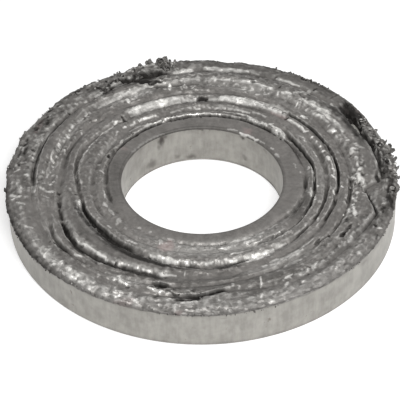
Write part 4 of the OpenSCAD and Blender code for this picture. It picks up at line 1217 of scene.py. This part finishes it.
def closed_skin(name: str, degrees: Array, radius: Array, z: Array, colours: Array) -> bpy.types.Object:
    """Bends a grid into a closed ring whose rows and columns both meet themselves.

    The attribute across holds places along the turns, as if all ran round at PATTERN_R, and the radius.

    Args:
        name: Name of the piece.
        degrees: Angle of each column.
        radius: Radius of each point in millimetres.
        z: Height of each point in millimetres.
        colours: Painted highlight, painted shade with dark marks, rose tint and liveliness of each point.

    Returns:
        The new object.
    """
    rows, columns = radius.shape
    bm = bmesh.new()
    bmesh.ops.create_grid(bm, x_segments=columns, y_segments=rows, size=0.5)
    mesh = mesh_from(bm, name)
    turn = np.radians(np.append(degrees, degrees[0]))
    wrap_r, wrap_z = wrapped(radius), wrapped(z)
    places = np.stack([wrap_r * np.cos(turn), wrap_r * np.sin(turn), wrap_z], -1) * MM
    round_x, round_y = (PATTERN_R * run(turn) + 0 * wrap_r for run in (np.cos, np.sin))
    flow = np.stack([round_x, round_y, wrap_r], -1) * MM
    mesh.attributes.new("sheen_shade_and_marks", "FLOAT_COLOR", "POINT")
    mesh.attributes.new("across", "FLOAT_VECTOR", "POINT")
    mesh.vertices.foreach_set("co", places.astype(np.float32).ravel())
    mesh.attributes["sheen_shade_and_marks"].data.foreach_set("color", wrapped(colours).astype(np.float32).ravel())
    mesh.attributes["across"].data.foreach_set("vector", flow.astype(np.float32).ravel())
    bm = bmesh.new()
    bm.from_mesh(mesh)
    bmesh.ops.remove_doubles(bm, verts=bm.verts, dist=WELD_M)
    bmesh.ops.recalc_face_normals(bm, faces=bm.faces)
    for face in bm.faces:
        face.smooth = True
    bm.to_mesh(mesh)
    bm.free()
    return placed(name, mesh)


@dataclass
class PressedBody:
    """Everything the die presses smooth below the turns: bore wall, outer wall and underside.

    A mark's row is angle, height, length and tallness in hundredths of a millimetre, and strength in
    percent.
    """

    sizes: RingSizes = field(default_factory=RingSizes)
    tables: CreaseTables = field(default_factory=CreaseTables)
    bore_marks: Table = (
        (97.6, 34, 60, 40, 70), (108, 48, 40, 40, 50), (129.7, 68, 80, 60, 65), (57.3, 78, 24, 24, 50),
        (120.5, 225, 44, 90, 100), (119, 245, 70, 30, 75), (117, 236, 30, 20, 50), (59, 240, 26, 26, 100),
        (148, 130, 200, 300, 16), (140, 60, 90, 90, 20), (31, 170, 90, 220, 8), (91, 256, 60, 14, 75),
        (86, 256, 36, 12, 60), (101, 256, 50, 12, 50), (130, 92, 40, 40, 40), (57, 90, 34, 26, 40),
        (122.5, 180, 30, 40, 35), (78, 256, 30, 12, 45), (140, 245, 120, 40, 25), (150, 250, 60, 20, 35),
        (36, 240, 50, 40, 25))
    wall_marks: Table = (
        (192, 200, 380, 70, 85), (203, 206, 500, 50, 75), (214, 212, 300, 30, 50), (262, 226, 80, 16, 30),
        (276, 222, 60, 14, 25), (213, 60, 140, 120, 22), (226, 40, 120, 60, 12), (281, 130, 20, 90, 14),
        (306, 140, 20, 120, 16), (311, 120, 16, 140, 14), (296, 110, 26, 80, 10), (324, 205, 90, 26, 28),
        (332, 214, 60, 20, 30), (268, 150, 40, 50, 10), (247, 160, 50, 40, 10))
    columns: int = 720
    arc_steps: int = 4
    wall_steps: int = 26

    WARP = Relief(Layer.WALL_WARP, 150, 0.12, 0.35)
    RAGGED = Relief(Layer.WALL_RAGGED, 110, 0.8, 0.5)

    def profile(self) -> Array:
        """Corners of the section, from the outer wall's top down and round to the bore.

        Returns:
            Radius and height of each corner in millimetres.
        """
        s = self.sizes
        turns = [math.radians(90 * n / self.arc_steps) for n in range(self.arc_steps + 1)]
        heel = [(s.outer_r - s.foot_edge * (1 - math.cos(t)), s.foot_edge * (1 - math.sin(t))) for t in turns]
        foot = [(s.bore_r + s.foot_edge * (1 - math.sin(t)), s.foot_edge * (1 - math.cos(t))) for t in turns]
        lip_z = s.height - s.bore_edge - s.joint
        wall = [(s.outer_r, z) for z in np.linspace(s.wall_top, s.foot_edge, self.wall_steps)]
        bore_z = (*np.linspace(s.foot_edge, lip_z - s.joint, self.wall_steps + 5), lip_z)
        bore = [(s.bore_r, z) for z in bore_z]
        ledge_r = s.bore_r + s.ledge
        hidden = [(ledge_r, lip_z), (ledge_r, s.wall_top), (s.outer_r - 0.12, s.wall_top - 0.1)]
        return np.array([*wall[:-1], *heel, *foot[::-1], *bore[1:], *hidden])

    def stains_and_shadow(self, degrees: Array, radius: Array, z: Array) -> Array:
        """Dark marks on the walls, darker towards the foot and the bore's top edge, and a painted shadow
        under the rim's overhang, from 0 to 1 for each point.

        Args:
            degrees: Angle of each column.
            radius: Radius of each point in millimetres.
            z: Height of each point in millimetres.

        Returns:
            How dark each point is.
        """
        dark = np.zeros_like(z)
        noise = FoilNoise(Seed.WALL)
        wide = np.broadcast_to(degrees, z.shape)
        warp = noise.uneven(0, wide, self.WARP, across=z)
        ragged = noise.uneven(0.5, wide, self.RAGGED, across=z)
        for rows, wall_r in ((self.bore_marks, self.sizes.bore_r), (self.wall_marks, self.sizes.outer_r)):
            for angle, height, length, tall, strength in rows:
                away = np.radians(from_angle(degrees, angle))[None, :] * wall_r
                gap = ((away + warp) * 200 / length) ** 2 + ((z - height / 100 + warp) * 200 / tall) ** 2
                mark = strength / 100 * np.exp(-(gap**1.5))
                dark = np.maximum(dark, np.where(np.abs(radius - wall_r) < 0.2, mark, 0))
        top = np.clip((z - 0.84 * self.sizes.height) / 0.3, 0, 1) * (radius < self.sizes.bore_r + 0.2)
        low = np.clip(1 - z / 0.26, 0, 1)
        foot = (0.4 + 0.6 * np.clip(ragged, 0, 1)) * 0.62 * low
        edges = np.maximum(np.clip(ragged, 0.1, 1) * 0.16 * top, foot)
        # painted shadow on the outer wall just below the rim's lower edge
        under = np.clip(1 - (hundredths(self.tables.edge, degrees) - z) / 0.16, 0, 1) ** 2
        under = under * (radius > self.sizes.outer_r - 0.2) * np.clip(ragged + 0.2, 0.1, 1)
        return np.clip(np.maximum(np.maximum(dark, edges), 0.5 * under), 0, 1)

    def build(self) -> bpy.types.Object:
        """Bends the section round into the ring.

        Returns:
            The new object.
        """
        s = self.sizes
        degrees = np.arange(self.columns) * 360 / self.columns
        corners = self.profile()
        radius = np.repeat(corners[:, :1], self.columns, axis=1)
        z = np.repeat(corners[:, 1:], self.columns, axis=1)
        edge = hundredths(self.tables.edge, degrees)
        z[0] = edge
        share = np.linspace(1, 0, self.wall_steps)[:-2, None]
        z[1:self.wall_steps - 1] = s.foot_edge + (edge - s.joint - s.foot_edge) * share
        dark = self.stains_and_shadow(degrees, radius, z)
        colours = np.stack([0 * dark, dark, 0 * dark, 1 + 0 * dark], -1)
        return closed_skin("pressed_body", degrees, radius, z, colours)


@dataclass(frozen=True)
class FlakeRun:
    """A stretch of the ring that loose flakes of foil cling to.

    Angles are in degrees and lengths in millimetres. Stand is how steeply the flakes rise, low and high
    bound how far they lie above the face, and lumpy is the share of crumbs among them.
    """

    start: float
    end: float
    inner: float
    outer: float
    count: int
    length: float
    stand: float
    dark_and_shade: float
    low: float = 0.0
    high: float = 0.0
    lumpy: float = 0.5


@dataclass
class RimFlakes:
    """Crumbs, curled leaves and shreds that cling to the rim and lie in the creases.

    A shred's row is angle, radius, length, stand in degrees and darkness in percent. Runs that reach beyond
    the radius hanging_from follow the rim's overhang. The gaps keep the flakes that far inside the box
    of the part's source. None lies on the BARE_ROWS at the two edges of the face.
    """

    sizes: RingSizes = field(default_factory=RingSizes)
    tables: CreaseTables = field(default_factory=CreaseTables)
    runs: tuple[FlakeRun, ...] = (
        FlakeRun(357, 20, 11.7, 11.95, 24, 0.5, 4, 0.14, -0.11, -0.03, 0.55),
        FlakeRun(357, 16, 11.35, 11.65, 16, 0.4, 4, 0.65, -0.1, -0.03, 0.7),
        FlakeRun(27, 37, 10.9, 11.6, 18, 0.42, 4, 0.85, -0.12, -0.03, 0.7),
        FlakeRun(14, 29, 11.3, 11.65, 18, 0.42, 4, 0.65, -0.12, -0.03, 0.7),
        FlakeRun(12, 32, 11.66, 11.9, 24, 0.5, 4, 0.16, -0.11, -0.02, 0.55),
        FlakeRun(26, 64, 11.9, 12.0, 60, 0.18, 6, 0.5, -0.06, 0.0, 0.9),
        FlakeRun(40, 98, 11.7, 11.94, 30, 0.13, 8, 0.3, -0.04, 0.0, 0.9),
        FlakeRun(98, 128, 10.6, 11.85, 120, 0.3, 8, 0.45, -0.07, 0.02, 0.8),
        FlakeRun(128, 182, 11.6, 12.0, 70, 0.18, 8, 0.45, -0.06, 0.0, 0.85),
        FlakeRun(128, 188, 11.92, 12.0, 60, 0.16, 6, 0.4, -0.07, -0.02, 0.9),
        FlakeRun(180, 222, 11.98, 12.0, 200, 0.13, -82, 0.85, -0.24, 0.02, 0.9),
        FlakeRun(222, 252, 11.98, 12.0, 50, 0.12, -80, 0.4, -0.12, 0.02, 0.9),
        FlakeRun(252, 292, 12.0, 12.02, 50, 0.12, -75, 0.45, -0.15, 0.0, 0.8),
        FlakeRun(316, 346, 12.0, 12.03, 30, 0.12, -75, 0.4, -0.15, 0.0, 0.8),
        FlakeRun(200, 246, 7.6, 8.1, 20, 0.16, 8, 0.7), FlakeRun(258, 276, 10.1, 11.0, 20, 0.2, 10, 0.8),
        FlakeRun(90, 165, 5.95, 6.3, 26, 0.13, 8, 0.7), FlakeRun(36, 80, 6.1, 6.5, 12, 0.13, 8, 0.7),
        FlakeRun(330, 8, 9.2, 9.9, 20, 0.16, 8, 0.2))
    shreds: Table = (
        (101, 11.8, 0.5, 40, 50), (102.4, 11.85, 0.55, 70, 35), (103.2, 11.75, 0.45, 30, 45),
        (105.8, 11.8, 0.36, 25, 45), (107, 11.8, 0.3, 15, 40), (109.5, 11.75, 0.26, 15, 60),
        (98, 11.8, 0.2, 15, 40), (116, 11.75, 0.22, 15, 50), (9, 12.05, 0.36, 20, 40),
        (14, 12.0, 0.4, 30, 45), (17, 11.95, 0.4, 40, 50), (5, 12.1, 0.34, 15, 40), (1, 12.1, 0.36, 10, 50),
        (355, 11.95, 0.3, 10, 60), (57, 11.85, 0.2, 40, 65), (53.5, 11.85, 0.16, 30, 70),
        (66, 11.85, 0.2, 20, 50), (157.5, 12.0, 0.18, 20, 40), (174, 12.05, 0.2, 15, 40),
        (160, 12.05, 0.2, 15, 40), (183, 12.05, 0.3, 10, 80))
    hanging_from: float = 11.85
    side_gap: float = 0.01
    top_gap: float = 0.012

    BARE_ROWS = (4, 8)

    def leaf(self, bend: float, taper: float) -> bpy.types.Mesh:
        """Makes one curled leaf of foil, a unit long, with a point at its far end.

        Args:
            bend: How far its end curls up.
            taper: Width of its far end as a share of its root.

        Returns:
            A mesh that is copied for each flake.
        """
        bm = bmesh.new()
        sheet = bmesh.ops.create_grid(bm, x_segments=4, y_segments=2, size=0.5)["verts"]
        for n, vert in enumerate(sheet):
            along = vert.co.x + 0.5
            ragged = 0.12 * math.sin(5.0 * n * bend + taper)
            vert.co.y *= (1 - (1 - taper) * along**2) * (1 + ragged)
            vert.co.x += 0.1 * math.sin(9.0 * vert.co.y + 3.0 * bend)
            vert.co.z = bend * along**2 + 0.1 * math.sin(7.0 * along + 11.0 * vert.co.y)
        bmesh.ops.solidify(bm, geom=list(bm.faces), thickness=0.16)
        bmesh.ops.recalc_face_normals(bm, faces=bm.faces)
        return mesh_from(bm, "leaf")

    def crumb(self, kind: int) -> bpy.types.Mesh:
        """Makes one angular crumb.

        Args:
            kind: Sets its shape.

        Returns:
            A mesh that is copied for each crumb.
        """
        bm = bmesh.new()
        bmesh.ops.create_icosphere(bm, subdivisions=1, radius=0.42)
        for n, vert in enumerate(bm.verts):
            vert.co *= 1 + 0.24 * math.sin(2.7 * n * kind + kind)
            vert.co.z *= 0.75
        for face in bm.faces:
            face.smooth = True
        return mesh_from(bm, "crumb")

    def places(self, grid: FaceGrid) -> list[tuple[float, ...]]:
        """Where each flake lies.

        Args:
            grid: Points of the face that the flakes lie on.

        Returns:
            Angle, radius, height, length, stand, heading, darkness, painted highlight and kind of each flake.
        """
        maker = np.random.default_rng(Seed.FLAKE_PLACES.value)
        found = []
        for run in self.runs:
            for _ in range(run.count):
                turn = run.start + maker.random() * ((run.end - run.start) % 360)
                hang = self.sizes.face_w * float(hundredths(self.tables.reach, turn))
                outer = run.outer + (RIM_HANG * hang if run.outer > self.hanging_from else 0)
                radius = maker.uniform(run.inner, outer)
                lift = self.surface(grid, turn, radius) + maker.uniform(run.low, run.high)
                length = run.length * maker.uniform(0.4, 1.25)
                stand = run.stand + maker.normal(0, 12)
                heading = maker.normal(0, 55) if run.stand < 0 else maker.uniform(0, 360)
                dark_and_shade = float(np.clip(run.dark_and_shade + maker.normal(0, 0.22), 0, 1))
                kind = maker.integers(5, 8) if maker.random() < run.lumpy else maker.integers(0, 5)
                # a painted highlight on some flakes, by chance
                painted_highlight = 0.9 * maker.random() ** 2 * (1 - dark_and_shade)
                found.append((turn, radius, lift, length, stand, heading, dark_and_shade, painted_highlight, kind))
        for turn, radius, length, stand, dark_and_shade in self.shreds:
            lift = self.surface(grid, turn, radius) - 0.03
            found.append((turn, radius, lift, length, stand, maker.normal(0, 22), dark_and_shade / 100, 0.2, 3))
            found.append((turn + 0.4, radius - 0.05, lift, 0.7 * length, 0, 90, dark_and_shade / 100, 0.2, 6))
        return found

    def surface(self, grid: FaceGrid, degrees: float, radius: float) -> float:
        """Height of the face at one place.

        Args:
            grid: Points of the face.
            degrees: Angle of the place.
            radius: Radius of the place in millimetres.

        Returns:
            The height in millimetres.
        """
        column = int(round(degrees % 360 / 360 * len(grid.degrees))) % len(grid.degrees)
        rows = slice(self.BARE_ROWS[0], len(grid.z) - self.BARE_ROWS[1])
        radii, heights = grid.radius[rows, column], grid.z[rows, column]
        return float(heights[int(np.argmin(np.abs(radii - radius)))])

    def build(self, grid: FaceGrid) -> bpy.types.Object:
        """Lays all flakes down as one piece.

        Args:
            grid: Points of the face that the flakes lie on.

        Returns:
            The new object.
        """
        curls = ((0.25, 0.7), (0.4, 0.8), (-0.2, 0.7), (0.6, 0.9), (0.1, 1.0))
        leaves = [self.leaf(bend, taper) for bend, taper in curls] + [self.crumb(n) for n in (1, 2, 3)]
        maker = np.random.default_rng(Seed.FLAKE_SIZES.value)
        bm = bmesh.new()
        sheen_shade_and_marks = bm.verts.layers.float_color.new("sheen_shade_and_marks")
        across = bm.verts.layers.float_vector.new("across")
        gaps = np.array((self.side_gap, self.side_gap, self.top_gap))
        low_corner = np.array(cad_box[0]) / MM + gaps
        high_corner = np.array(cad_box[1]) / MM - gaps
        for turn, radius, lift, length, stand, heading, dark_and_shade, painted_highlight, kind in self.places(grid):
            first = len(bm.verts)
            bm.from_mesh(leaves[kind])
            bm.verts.ensure_lookup_table()
            width, thickness = length * maker.uniform(0.6, 1), length * maker.uniform(0.5, 0.9)
            size = Matrix.Diagonal((length, width, thickness, 1))
            tilt = Matrix.Rotation(math.radians(-stand), 4, "Y")
            point = Matrix.Rotation(math.radians(heading), 4, "Z")
            root = Matrix.Translation((radius, 0, lift))
            spin = Matrix.Rotation(math.radians(turn), 4, "Z")
            place = spin @ root @ point @ tilt @ size @ Matrix.Translation((0.35, 0, 0))
            for vert in bm.verts[first:]:
                spot = Vector(np.clip(place @ vert.co, low_corner, high_corner))
                vert.co = spot * MM
                vert[sheen_shade_and_marks] = (painted_highlight, dark_and_shade, 0, 1)
                vert[across] = spot * MM
        bmesh.ops.recalc_face_normals(bm, faces=bm.faces)
        return placed("rim_flakes", mesh_from(bm, "rim_flakes"))


class ShaderBench:
    """Adds and joins the shader nodes of one material or of the sky."""

    def __init__(self, owner: bpy.types.Material | bpy.types.World) -> None:
        """Starts with an empty node tree.

        Args:
            owner: The material or world that the nodes belong to.
        """
        owner.use_nodes = True
        self.owner = owner
        self.nodes = owner.node_tree.nodes
        self.nodes.clear()
        self.links = owner.node_tree.links

    def add(self, kind: str, inputs: Inputs | None = None, **settings: object) -> bpy.types.Node:
        """Adds a node.

        Args:
            kind: Node type.
            inputs: Values, or output sockets to join, by input name or number.
            **settings: Properties of the node.

        Returns:
            The new node.
        """
        node = self.nodes.new(kind)
        for key, value in settings.items():
            setattr(node, key, value)
        for key, value in (inputs or {}).items():
            if isinstance(value, Socket):
                self.links.new(value, node.inputs[key])
            else:
                node.inputs[key].default_value = value
        return node

    def noise(self, vector: Socket, scale: float, detail: float = 3.0, rough: float = 0.55) -> Socket:
        """Noise from 0 to 1 on a vector."""
        inputs = {"Vector": vector, "Scale": scale, "Detail": detail, "Roughness": rough}
        return self.add("ShaderNodeTexNoise", inputs).outputs["Fac"]

    def stretched(self, vector: Socket, scale: tuple[float, float, float]) -> Socket:
        """A vector scaled along each axis."""
        return self.add("ShaderNodeMapping", {"Vector": vector, "Scale": scale}).outputs["Vector"]

    def vector(self, operation: str, *values: object) -> Socket:
        """Joins vectors with arithmetic."""
        node = self.add("ShaderNodeVectorMath", dict(enumerate(values)), operation=operation)
        return node.outputs["Vector"]

    def channels(self, colour: Socket) -> bpy.types.NodeOutputs:
        """Red, green and blue of a colour."""
        return self.add("ShaderNodeSeparateColor", {"Color": colour}).outputs

    def math(self, operation: str, first: object, second: object = 0.0, clamp: bool = False) -> Socket:
        """Joins two values with arithmetic."""
        node = self.add("ShaderNodeMath", {0: first, 1: second}, operation=operation, use_clamp=clamp)
        return node.outputs[0]

    def weigh(self, *shares: tuple[Socket, float]) -> Socket:
        """Sum of values, each times its weight.

        Args:
            *shares: Each value and its weight.

        Returns:
            The sum.
        """
        total, *others = [self.math("MULTIPLY", value, weight) for value, weight in shares]
        for other in others:
            total = self.math("ADD", total, other)
        return total

    def spread(self, value: Socket, low: float, high: float, start: float = 0.0, end: float = 1.0) -> Socket:
        """Stretches a value from one range to another, held at both ends."""
        inputs = {"Value": value, "From Min": low, "From Max": high, "To Min": start, "To Max": end}
        return self.add("ShaderNodeMapRange", inputs).outputs["Result"]

    def blend(self, factor: Socket, first: object, second: object) -> Socket:
        """Mixes two colours."""
        inputs = {"Factor": factor, "A": first, "B": second}
        return self.add("ShaderNodeMix", inputs, data_type="RGBA").outputs["Result"]

    def seen_directly(self) -> Socket:
        """Tells how the camera sees the surface.

        Returns:
            1 for rays from the camera, off gloss and through glass, and 0 for others.
        """
        paths = self.add("ShaderNodeLightPath").outputs
        seen = self.math("MAXIMUM", paths["Is Camera Ray"], paths["Is Glossy Ray"])
        return self.math("MAXIMUM", seen, paths["Is Transmission Ray"])

    def finish(self, base: Socket, rough: Socket, metallic: float, bump: Inputs) -> bpy.types.Material:
        """Joins the parts of a finish to the surface.

        Args:
            base: Base colour.
            rough: Roughness.
            metallic: How far it looks like metal, from 0 to 1.
            bump: Inputs of the bump.

        Returns:
            The finished material.
        """
        normal = self.add("ShaderNodeBump", bump).outputs["Normal"]
        shader = self.add("ShaderNodeBsdfPrincipled", {
            "Base Color": base, "Roughness": rough, "Metallic": metallic, "Normal": normal})
        self.add("ShaderNodeOutputMaterial", {"Surface": shader.outputs[0]})
        return self.owner


@dataclass(frozen=True)
class FoilFinish:
    """Crumpled graphite foil: grey, with painted silvery highlights, and painted shade that is dark in the
    creases.
    """

    name: str = "crumpled_foil"
    dark: Colour = (0.115, 0.108, 0.1, 1)
    light: Colour = (0.212, 0.2, 0.188, 1)
    # colour of the painted highlights, and below it that of the painted shade with dark marks
    highlight_colour: Colour = (0.82, 0.805, 0.77, 1)
    dark_and_shade: Colour = (0.018, 0.016, 0.014, 1)
    rose: Colour = (0.33, 0.235, 0.225, 1)
    metallic: float = 0.45
    tone_scale: float = 700
    mottle_scale: float = 2600
    streak_scale: float = 3800
    grain_scale: float = 9000
    wander_scale: float = 5000
    chip_scale: float = 7000
    wander: float = 0.00012
    lean: float = 0.4
    bump_m: float = 0.00007

    def chips(self, bench: ShaderBench, where: Socket, across: Socket) -> Socket:
        """Small angular chips of foil, longer along the turns, with one chance colour each.

        Args:
            bench: Where the nodes are added.
            where: Place on the ring.
            across: Place along and across the turns.

        Returns:
            The chance colour.
        """
        chance = bench.add("ShaderNodeTexNoise", {"Vector": where, "Scale": self.wander_scale, "Detail": 1.0})
        longer = bench.stretched(across, (0.7, 0.7, 1.0))
        moved = bench.vector("MULTIPLY_ADD", chance.outputs["Color"], (self.wander,) * 3, longer)
        return bench.add("ShaderNodeTexVoronoi", {"Vector": moved, "Scale": self.chip_scale}).outputs["Color"]

    def facets(self, bench: ShaderBench, chips: Socket, lively: Socket) -> Socket:
        """Surface direction, with each chip leaning its own way.

        Args:
            bench: Where the nodes are added.
            chips: Chance colour of each chip.
            lively: How much the chips may lean, from 0 to 1.

        Returns:
            The direction.
        """
        normal = bench.add("ShaderNodeNewGeometry").outputs["Normal"]
        lean = bench.vector("MULTIPLY", bench.vector("SUBTRACT", chips, (0.5, 0.5, 0.5)), lively)
        return bench.vector("NORMALIZE", bench.vector("MULTIPLY_ADD", lean, (self.lean,) * 3, normal))

    def build(self) -> bpy.types.Material:
        """Makes the material.

        Returns:
            The new material.
        """
        bench = ShaderBench(bpy.data.materials.new(self.name))
        where = bench.add("ShaderNodeTexCoord").outputs["Object"]
        across = bench.add("ShaderNodeAttribute", attribute_name="across").outputs["Vector"]
        sheen_shade_and_marks = bench.add("ShaderNodeAttribute", attribute_name="sheen_shade_and_marks").outputs
        painted_highlight, dark_and_shade, rose = list(bench.channels(sheen_shade_and_marks["Color"]))[:3]
        tone = bench.noise(where, self.tone_scale)
        mottle = bench.noise(where, self.mottle_scale)
        streaks = bench.noise(bench.stretched(across, (1, 1, 0.14)), self.streak_scale, 2, 0.5)
        grain = bench.noise(where, self.grain_scale, 2, 0.6)
        chips = self.chips(bench, where, across)
        chip = bench.math("SUBTRACT", bench.channels(chips)["Red"], 0.5)
        chip = bench.math("ADD", 0.5, bench.math("MULTIPLY", chip, sheen_shade_and_marks["Alpha"]))
        mixed = bench.weigh((tone, 0.36), (mottle, 0.34), (streaks, 0.14), (chip, 0.16))
        base = bench.blend(bench.spread(mixed, 0.36, 0.64), self.dark, self.light)
        base = bench.blend(bench.math("MULTIPLY", rose, 0.75), base, self.rose)
        # painted highlights: silvery where the highlight channel is high, broken into sparkles
        glint_sparkle = bench.spread(bench.weigh((mottle, 0.6), (chip, 0.4)), 0.34, 0.64, 0.5, 1.2)
        painted_highlight = bench.math("MULTIPLY", painted_highlight, glint_sparkle, True)
        base = bench.blend(painted_highlight, base, self.highlight_colour)
        # painted shade: near black in creases, hollows and pits, and on dark marks
        dark_and_shade_mix = bench.math("MULTIPLY", dark_and_shade, bench.spread(chip, 0.0, 1.0, 1.15, 0.85), True)
        base = bench.blend(dark_and_shade_mix, base, self.dark_and_shade)
        gloss = bench.spread(grain, 0.3, 0.7, 0.36, 0.5)
        gloss = bench.math("SUBTRACT", gloss, bench.math("MULTIPLY", painted_highlight, 0.12))
        rough = bench.math("ADD", gloss, bench.math("MULTIPLY", dark_and_shade, 0.4), True)
        lumps = bench.weigh((mottle, 0.6), (grain, 0.25), (streaks, 0.2))
        return bench.finish(base, rough, self.metallic, {
            "Strength": 0.5, "Distance": self.bump_m, "Height": lumps,
            "Normal": self.facets(bench, chips, sheen_shade_and_marks["Alpha"])})


@dataclass(frozen=True)
class PressedWallFinish:
    """Die pressed wall: pale satin grey with fine upright streaks, dark flecks and marks, and a painted
    shadow under the rim.
    """

    name: str = "pressed_wall"
    dark: Colour = (0.3, 0.288, 0.264, 1)
    light: Colour = (0.43, 0.415, 0.383, 1)
    fleck: Colour = (0.16, 0.13, 0.11, 1)
    stain_and_shadow: Colour = (0.06, 0.05, 0.045, 1)
    streak_scale: float = 3600
    broad_scale: float = 1500
    cloud_scale: float = 420
    spot_scale: float = 1700
    metallic: float = 0.35
    bump_m: float = 0.00004

    def build(self) -> bpy.types.Material:
        """Makes the material.

        Returns:
            The new material.
        """
        bench = ShaderBench(bpy.data.materials.new(self.name))
        where = bench.add("ShaderNodeTexCoord").outputs["Object"]
        streaks = bench.noise(bench.stretched(where, (1, 1, 0.2)), self.streak_scale, rough=0.6)
        broad = bench.noise(where, self.broad_scale, rough=0.6)
        clouds = bench.noise(where, self.cloud_scale)
        spots = bench.noise(where, self.spot_scale, rough=0.6)
        mixed = bench.weigh((streaks, 0.34), (broad, 0.36), (clouds, 0.3))
        base = bench.blend(bench.spread(mixed, 0.4, 0.6), self.dark, self.light)
        base = bench.blend(bench.spread(spots, 0.68, 0.76, 0.0, 0.7), base, self.fleck)
        sheen_shade_and_marks = bench.add("ShaderNodeAttribute", attribute_name="sheen_shade_and_marks").outputs["Color"]
        # dark marks and the painted shadow under the rim
        base = bench.blend(bench.channels(sheen_shade_and_marks)["Green"], base, self.stain_and_shadow)
        rough = bench.spread(streaks, 0.3, 0.7, 0.42, 0.54)
        bump = {"Strength": 0.3, "Distance": self.bump_m, "Height": mixed}
        return bench.finish(base, rough, self.metallic, bump)


@dataclass(frozen=True)
class PaperFinish:
    """White ground that shows white behind the ring and keeps its soft shadow."""

    name: str = "white_ground"
    colour: Colour = (0.82, 0.82, 0.82, 1)
    own_light: float = 0.45

    def build(self) -> bpy.types.Material:
        """Makes the material.

        Returns:
            The new material.
        """
        bench = ShaderBench(bpy.data.materials.new(self.name))
        strength = bench.math("MULTIPLY", bench.seen_directly(), self.own_light)
        matt = bench.add("ShaderNodeBsdfDiffuse", {"Color": self.colour})
        glow = bench.add("ShaderNodeEmission", {"Color": (1, 1, 1, 1), "Strength": strength})
        both = bench.add("ShaderNodeAddShader", {0: matt.outputs[0], 1: glow.outputs[0]})
        bench.add("ShaderNodeOutputMaterial", {"Surface": both.outputs[0]})
        return bench.owner


@dataclass
class Studio:
    """Camera, ground, lamps and sky of a plain soft studio.

    The camera's angles are in degrees and its distance in millimetres; what shifts its view, its focal
    length and the frame are in pixels of the photo. The rest is in metres and watts.
    """

    elevation: float = 41.2452
    distance: float = 177.613
    focal_px: float = 2845.91
    frame_px: float = 400.0
    shift_right: float = 2.37
    shift_down: float = 11.82
    roll: float = -0.509
    lamp_place: Place = (0.03, -0.13, 0.18)
    lamp_width: float = 0.12
    lamp_power: float = 0.38
    fill_place: Place = (0.2, 0.02, 0.12)
    fill_width: float = 0.1
    fill_power: float = 0.07
    sky: float = 0.27
    ground_width: float = 3.0
    ground_gap: float = 0.00001

    def camera(self) -> bpy.types.Object:
        """Makes the camera at the photo's angle.

        Returns:
            The camera, set as the scene's own.
        """
        rise = math.radians(self.elevation)
        back = Vector((0, -math.cos(rise), math.sin(rise)))
        right = Vector((1, 0, 0))
        up = back.cross(right)
        turn = math.radians(self.roll)
        across = math.cos(turn) * right + math.sin(turn) * up
        upward = -math.sin(turn) * right + math.cos(turn) * up
        look = -back - across * (self.shift_right / self.focal_px)
        look = (look + upward * (self.shift_down / self.focal_px)).normalized()
        across = (across + look * -across.dot(look)).normalized()
        upward = (-look).cross(across)
        data = bpy.data.cameras.new("photo_view")
        data.sensor_width = 36.0
        data.lens = self.focal_px * data.sensor_width / self.frame_px
        data.clip_start, data.clip_end = 0.001, 10
        camera = placed("photo_view", data)
        place = Matrix((across, upward, -look)).transposed().to_4x4()
        place.translation = back * self.distance * MM
        camera.matrix_world = place
        bpy.context.scene.camera = camera
        return camera

    def ground(self) -> bpy.types.Object:
        """Makes the ground under the ring.

        Returns:
            The ground.
        """
        bm = bmesh.new()
        bmesh.ops.create_grid(bm, x_segments=1, y_segments=1, size=self.ground_width / 2)
        bmesh.ops.translate(bm, verts=bm.verts, vec=(0, 0, -self.ground_gap))
        mesh = mesh_from(bm, "ground")
        mesh.materials.append(PaperFinish().build())
        ground = placed("ground", mesh)
        return ground

    def lamp(self, name: str, place: Place, size: float, power: float) -> None:
        """Hangs a square lamp that faces the ring.

        Args:
            name: Name of the lamp.
            place: Its middle in metres.
            size: Its width in metres.
            power: Its power in watts.
        """
        data = bpy.data.lights.new(name, "AREA")
        data.shape, data.size, data.energy = "SQUARE", size, power
        lamp = placed(name, data)
        lamp.location = place
        lamp.rotation_mode = "QUATERNION"
        lamp.rotation_quaternion = (-Vector(place)).to_track_quat("-Z", "Y")

    def lights(self) -> None:
        """Hangs the lamps and sets the sky, white to the camera and to reflections."""
        self.lamp("top_front_lamp", self.lamp_place, self.lamp_width, self.lamp_power)
        self.lamp("right_lamp", self.fill_place, self.fill_width, self.fill_power)
        world = bpy.data.worlds.new("studio_sky")
        bench = ShaderBench(world)
        strength = bench.spread(bench.seen_directly(), 0, 1, self.sky, 1)
        background = bench.add("ShaderNodeBackground", {"Color": (1, 1, 1, 1), "Strength": strength})
        bench.add("ShaderNodeOutputWorld", {"Surface": background.outputs[0]})
        bpy.context.scene.world = world


def settle(piece: bpy.types.Object, material: bpy.types.Material) -> None:
    """Dresses a piece and sets it on the ring's body in place of the CAD solid.

    Args:
        piece: Finished piece.
        material: Its finish.
    """
    piece.data.materials.clear()
    piece.data.materials.append(material)
    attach(piece, BODY)
    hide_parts(NODE)
    log.info("%s: %d faces", piece.name, len(piece.data.polygons))


def main() -> None:
    """Builds and dresses the ring, then the studio round it."""
    logging.basicConfig(level=logging.INFO, format="%(name)s %(message)s")
    bpy.context.scene.view_settings.view_transform = "Standard"
    foil, wall = FoilFinish().build(), PressedWallFinish().build()
    settle(PressedBody().build(), wall)
    skins, grid = UpperFace().build()
    for skin in skins:
        settle(skin, foil)
    settle(RimFlakes().build(grid), foil)
    studio = Studio()
    studio.camera()
    studio.ground()
    studio.lights()


if __name__ == "__main__":
    main()
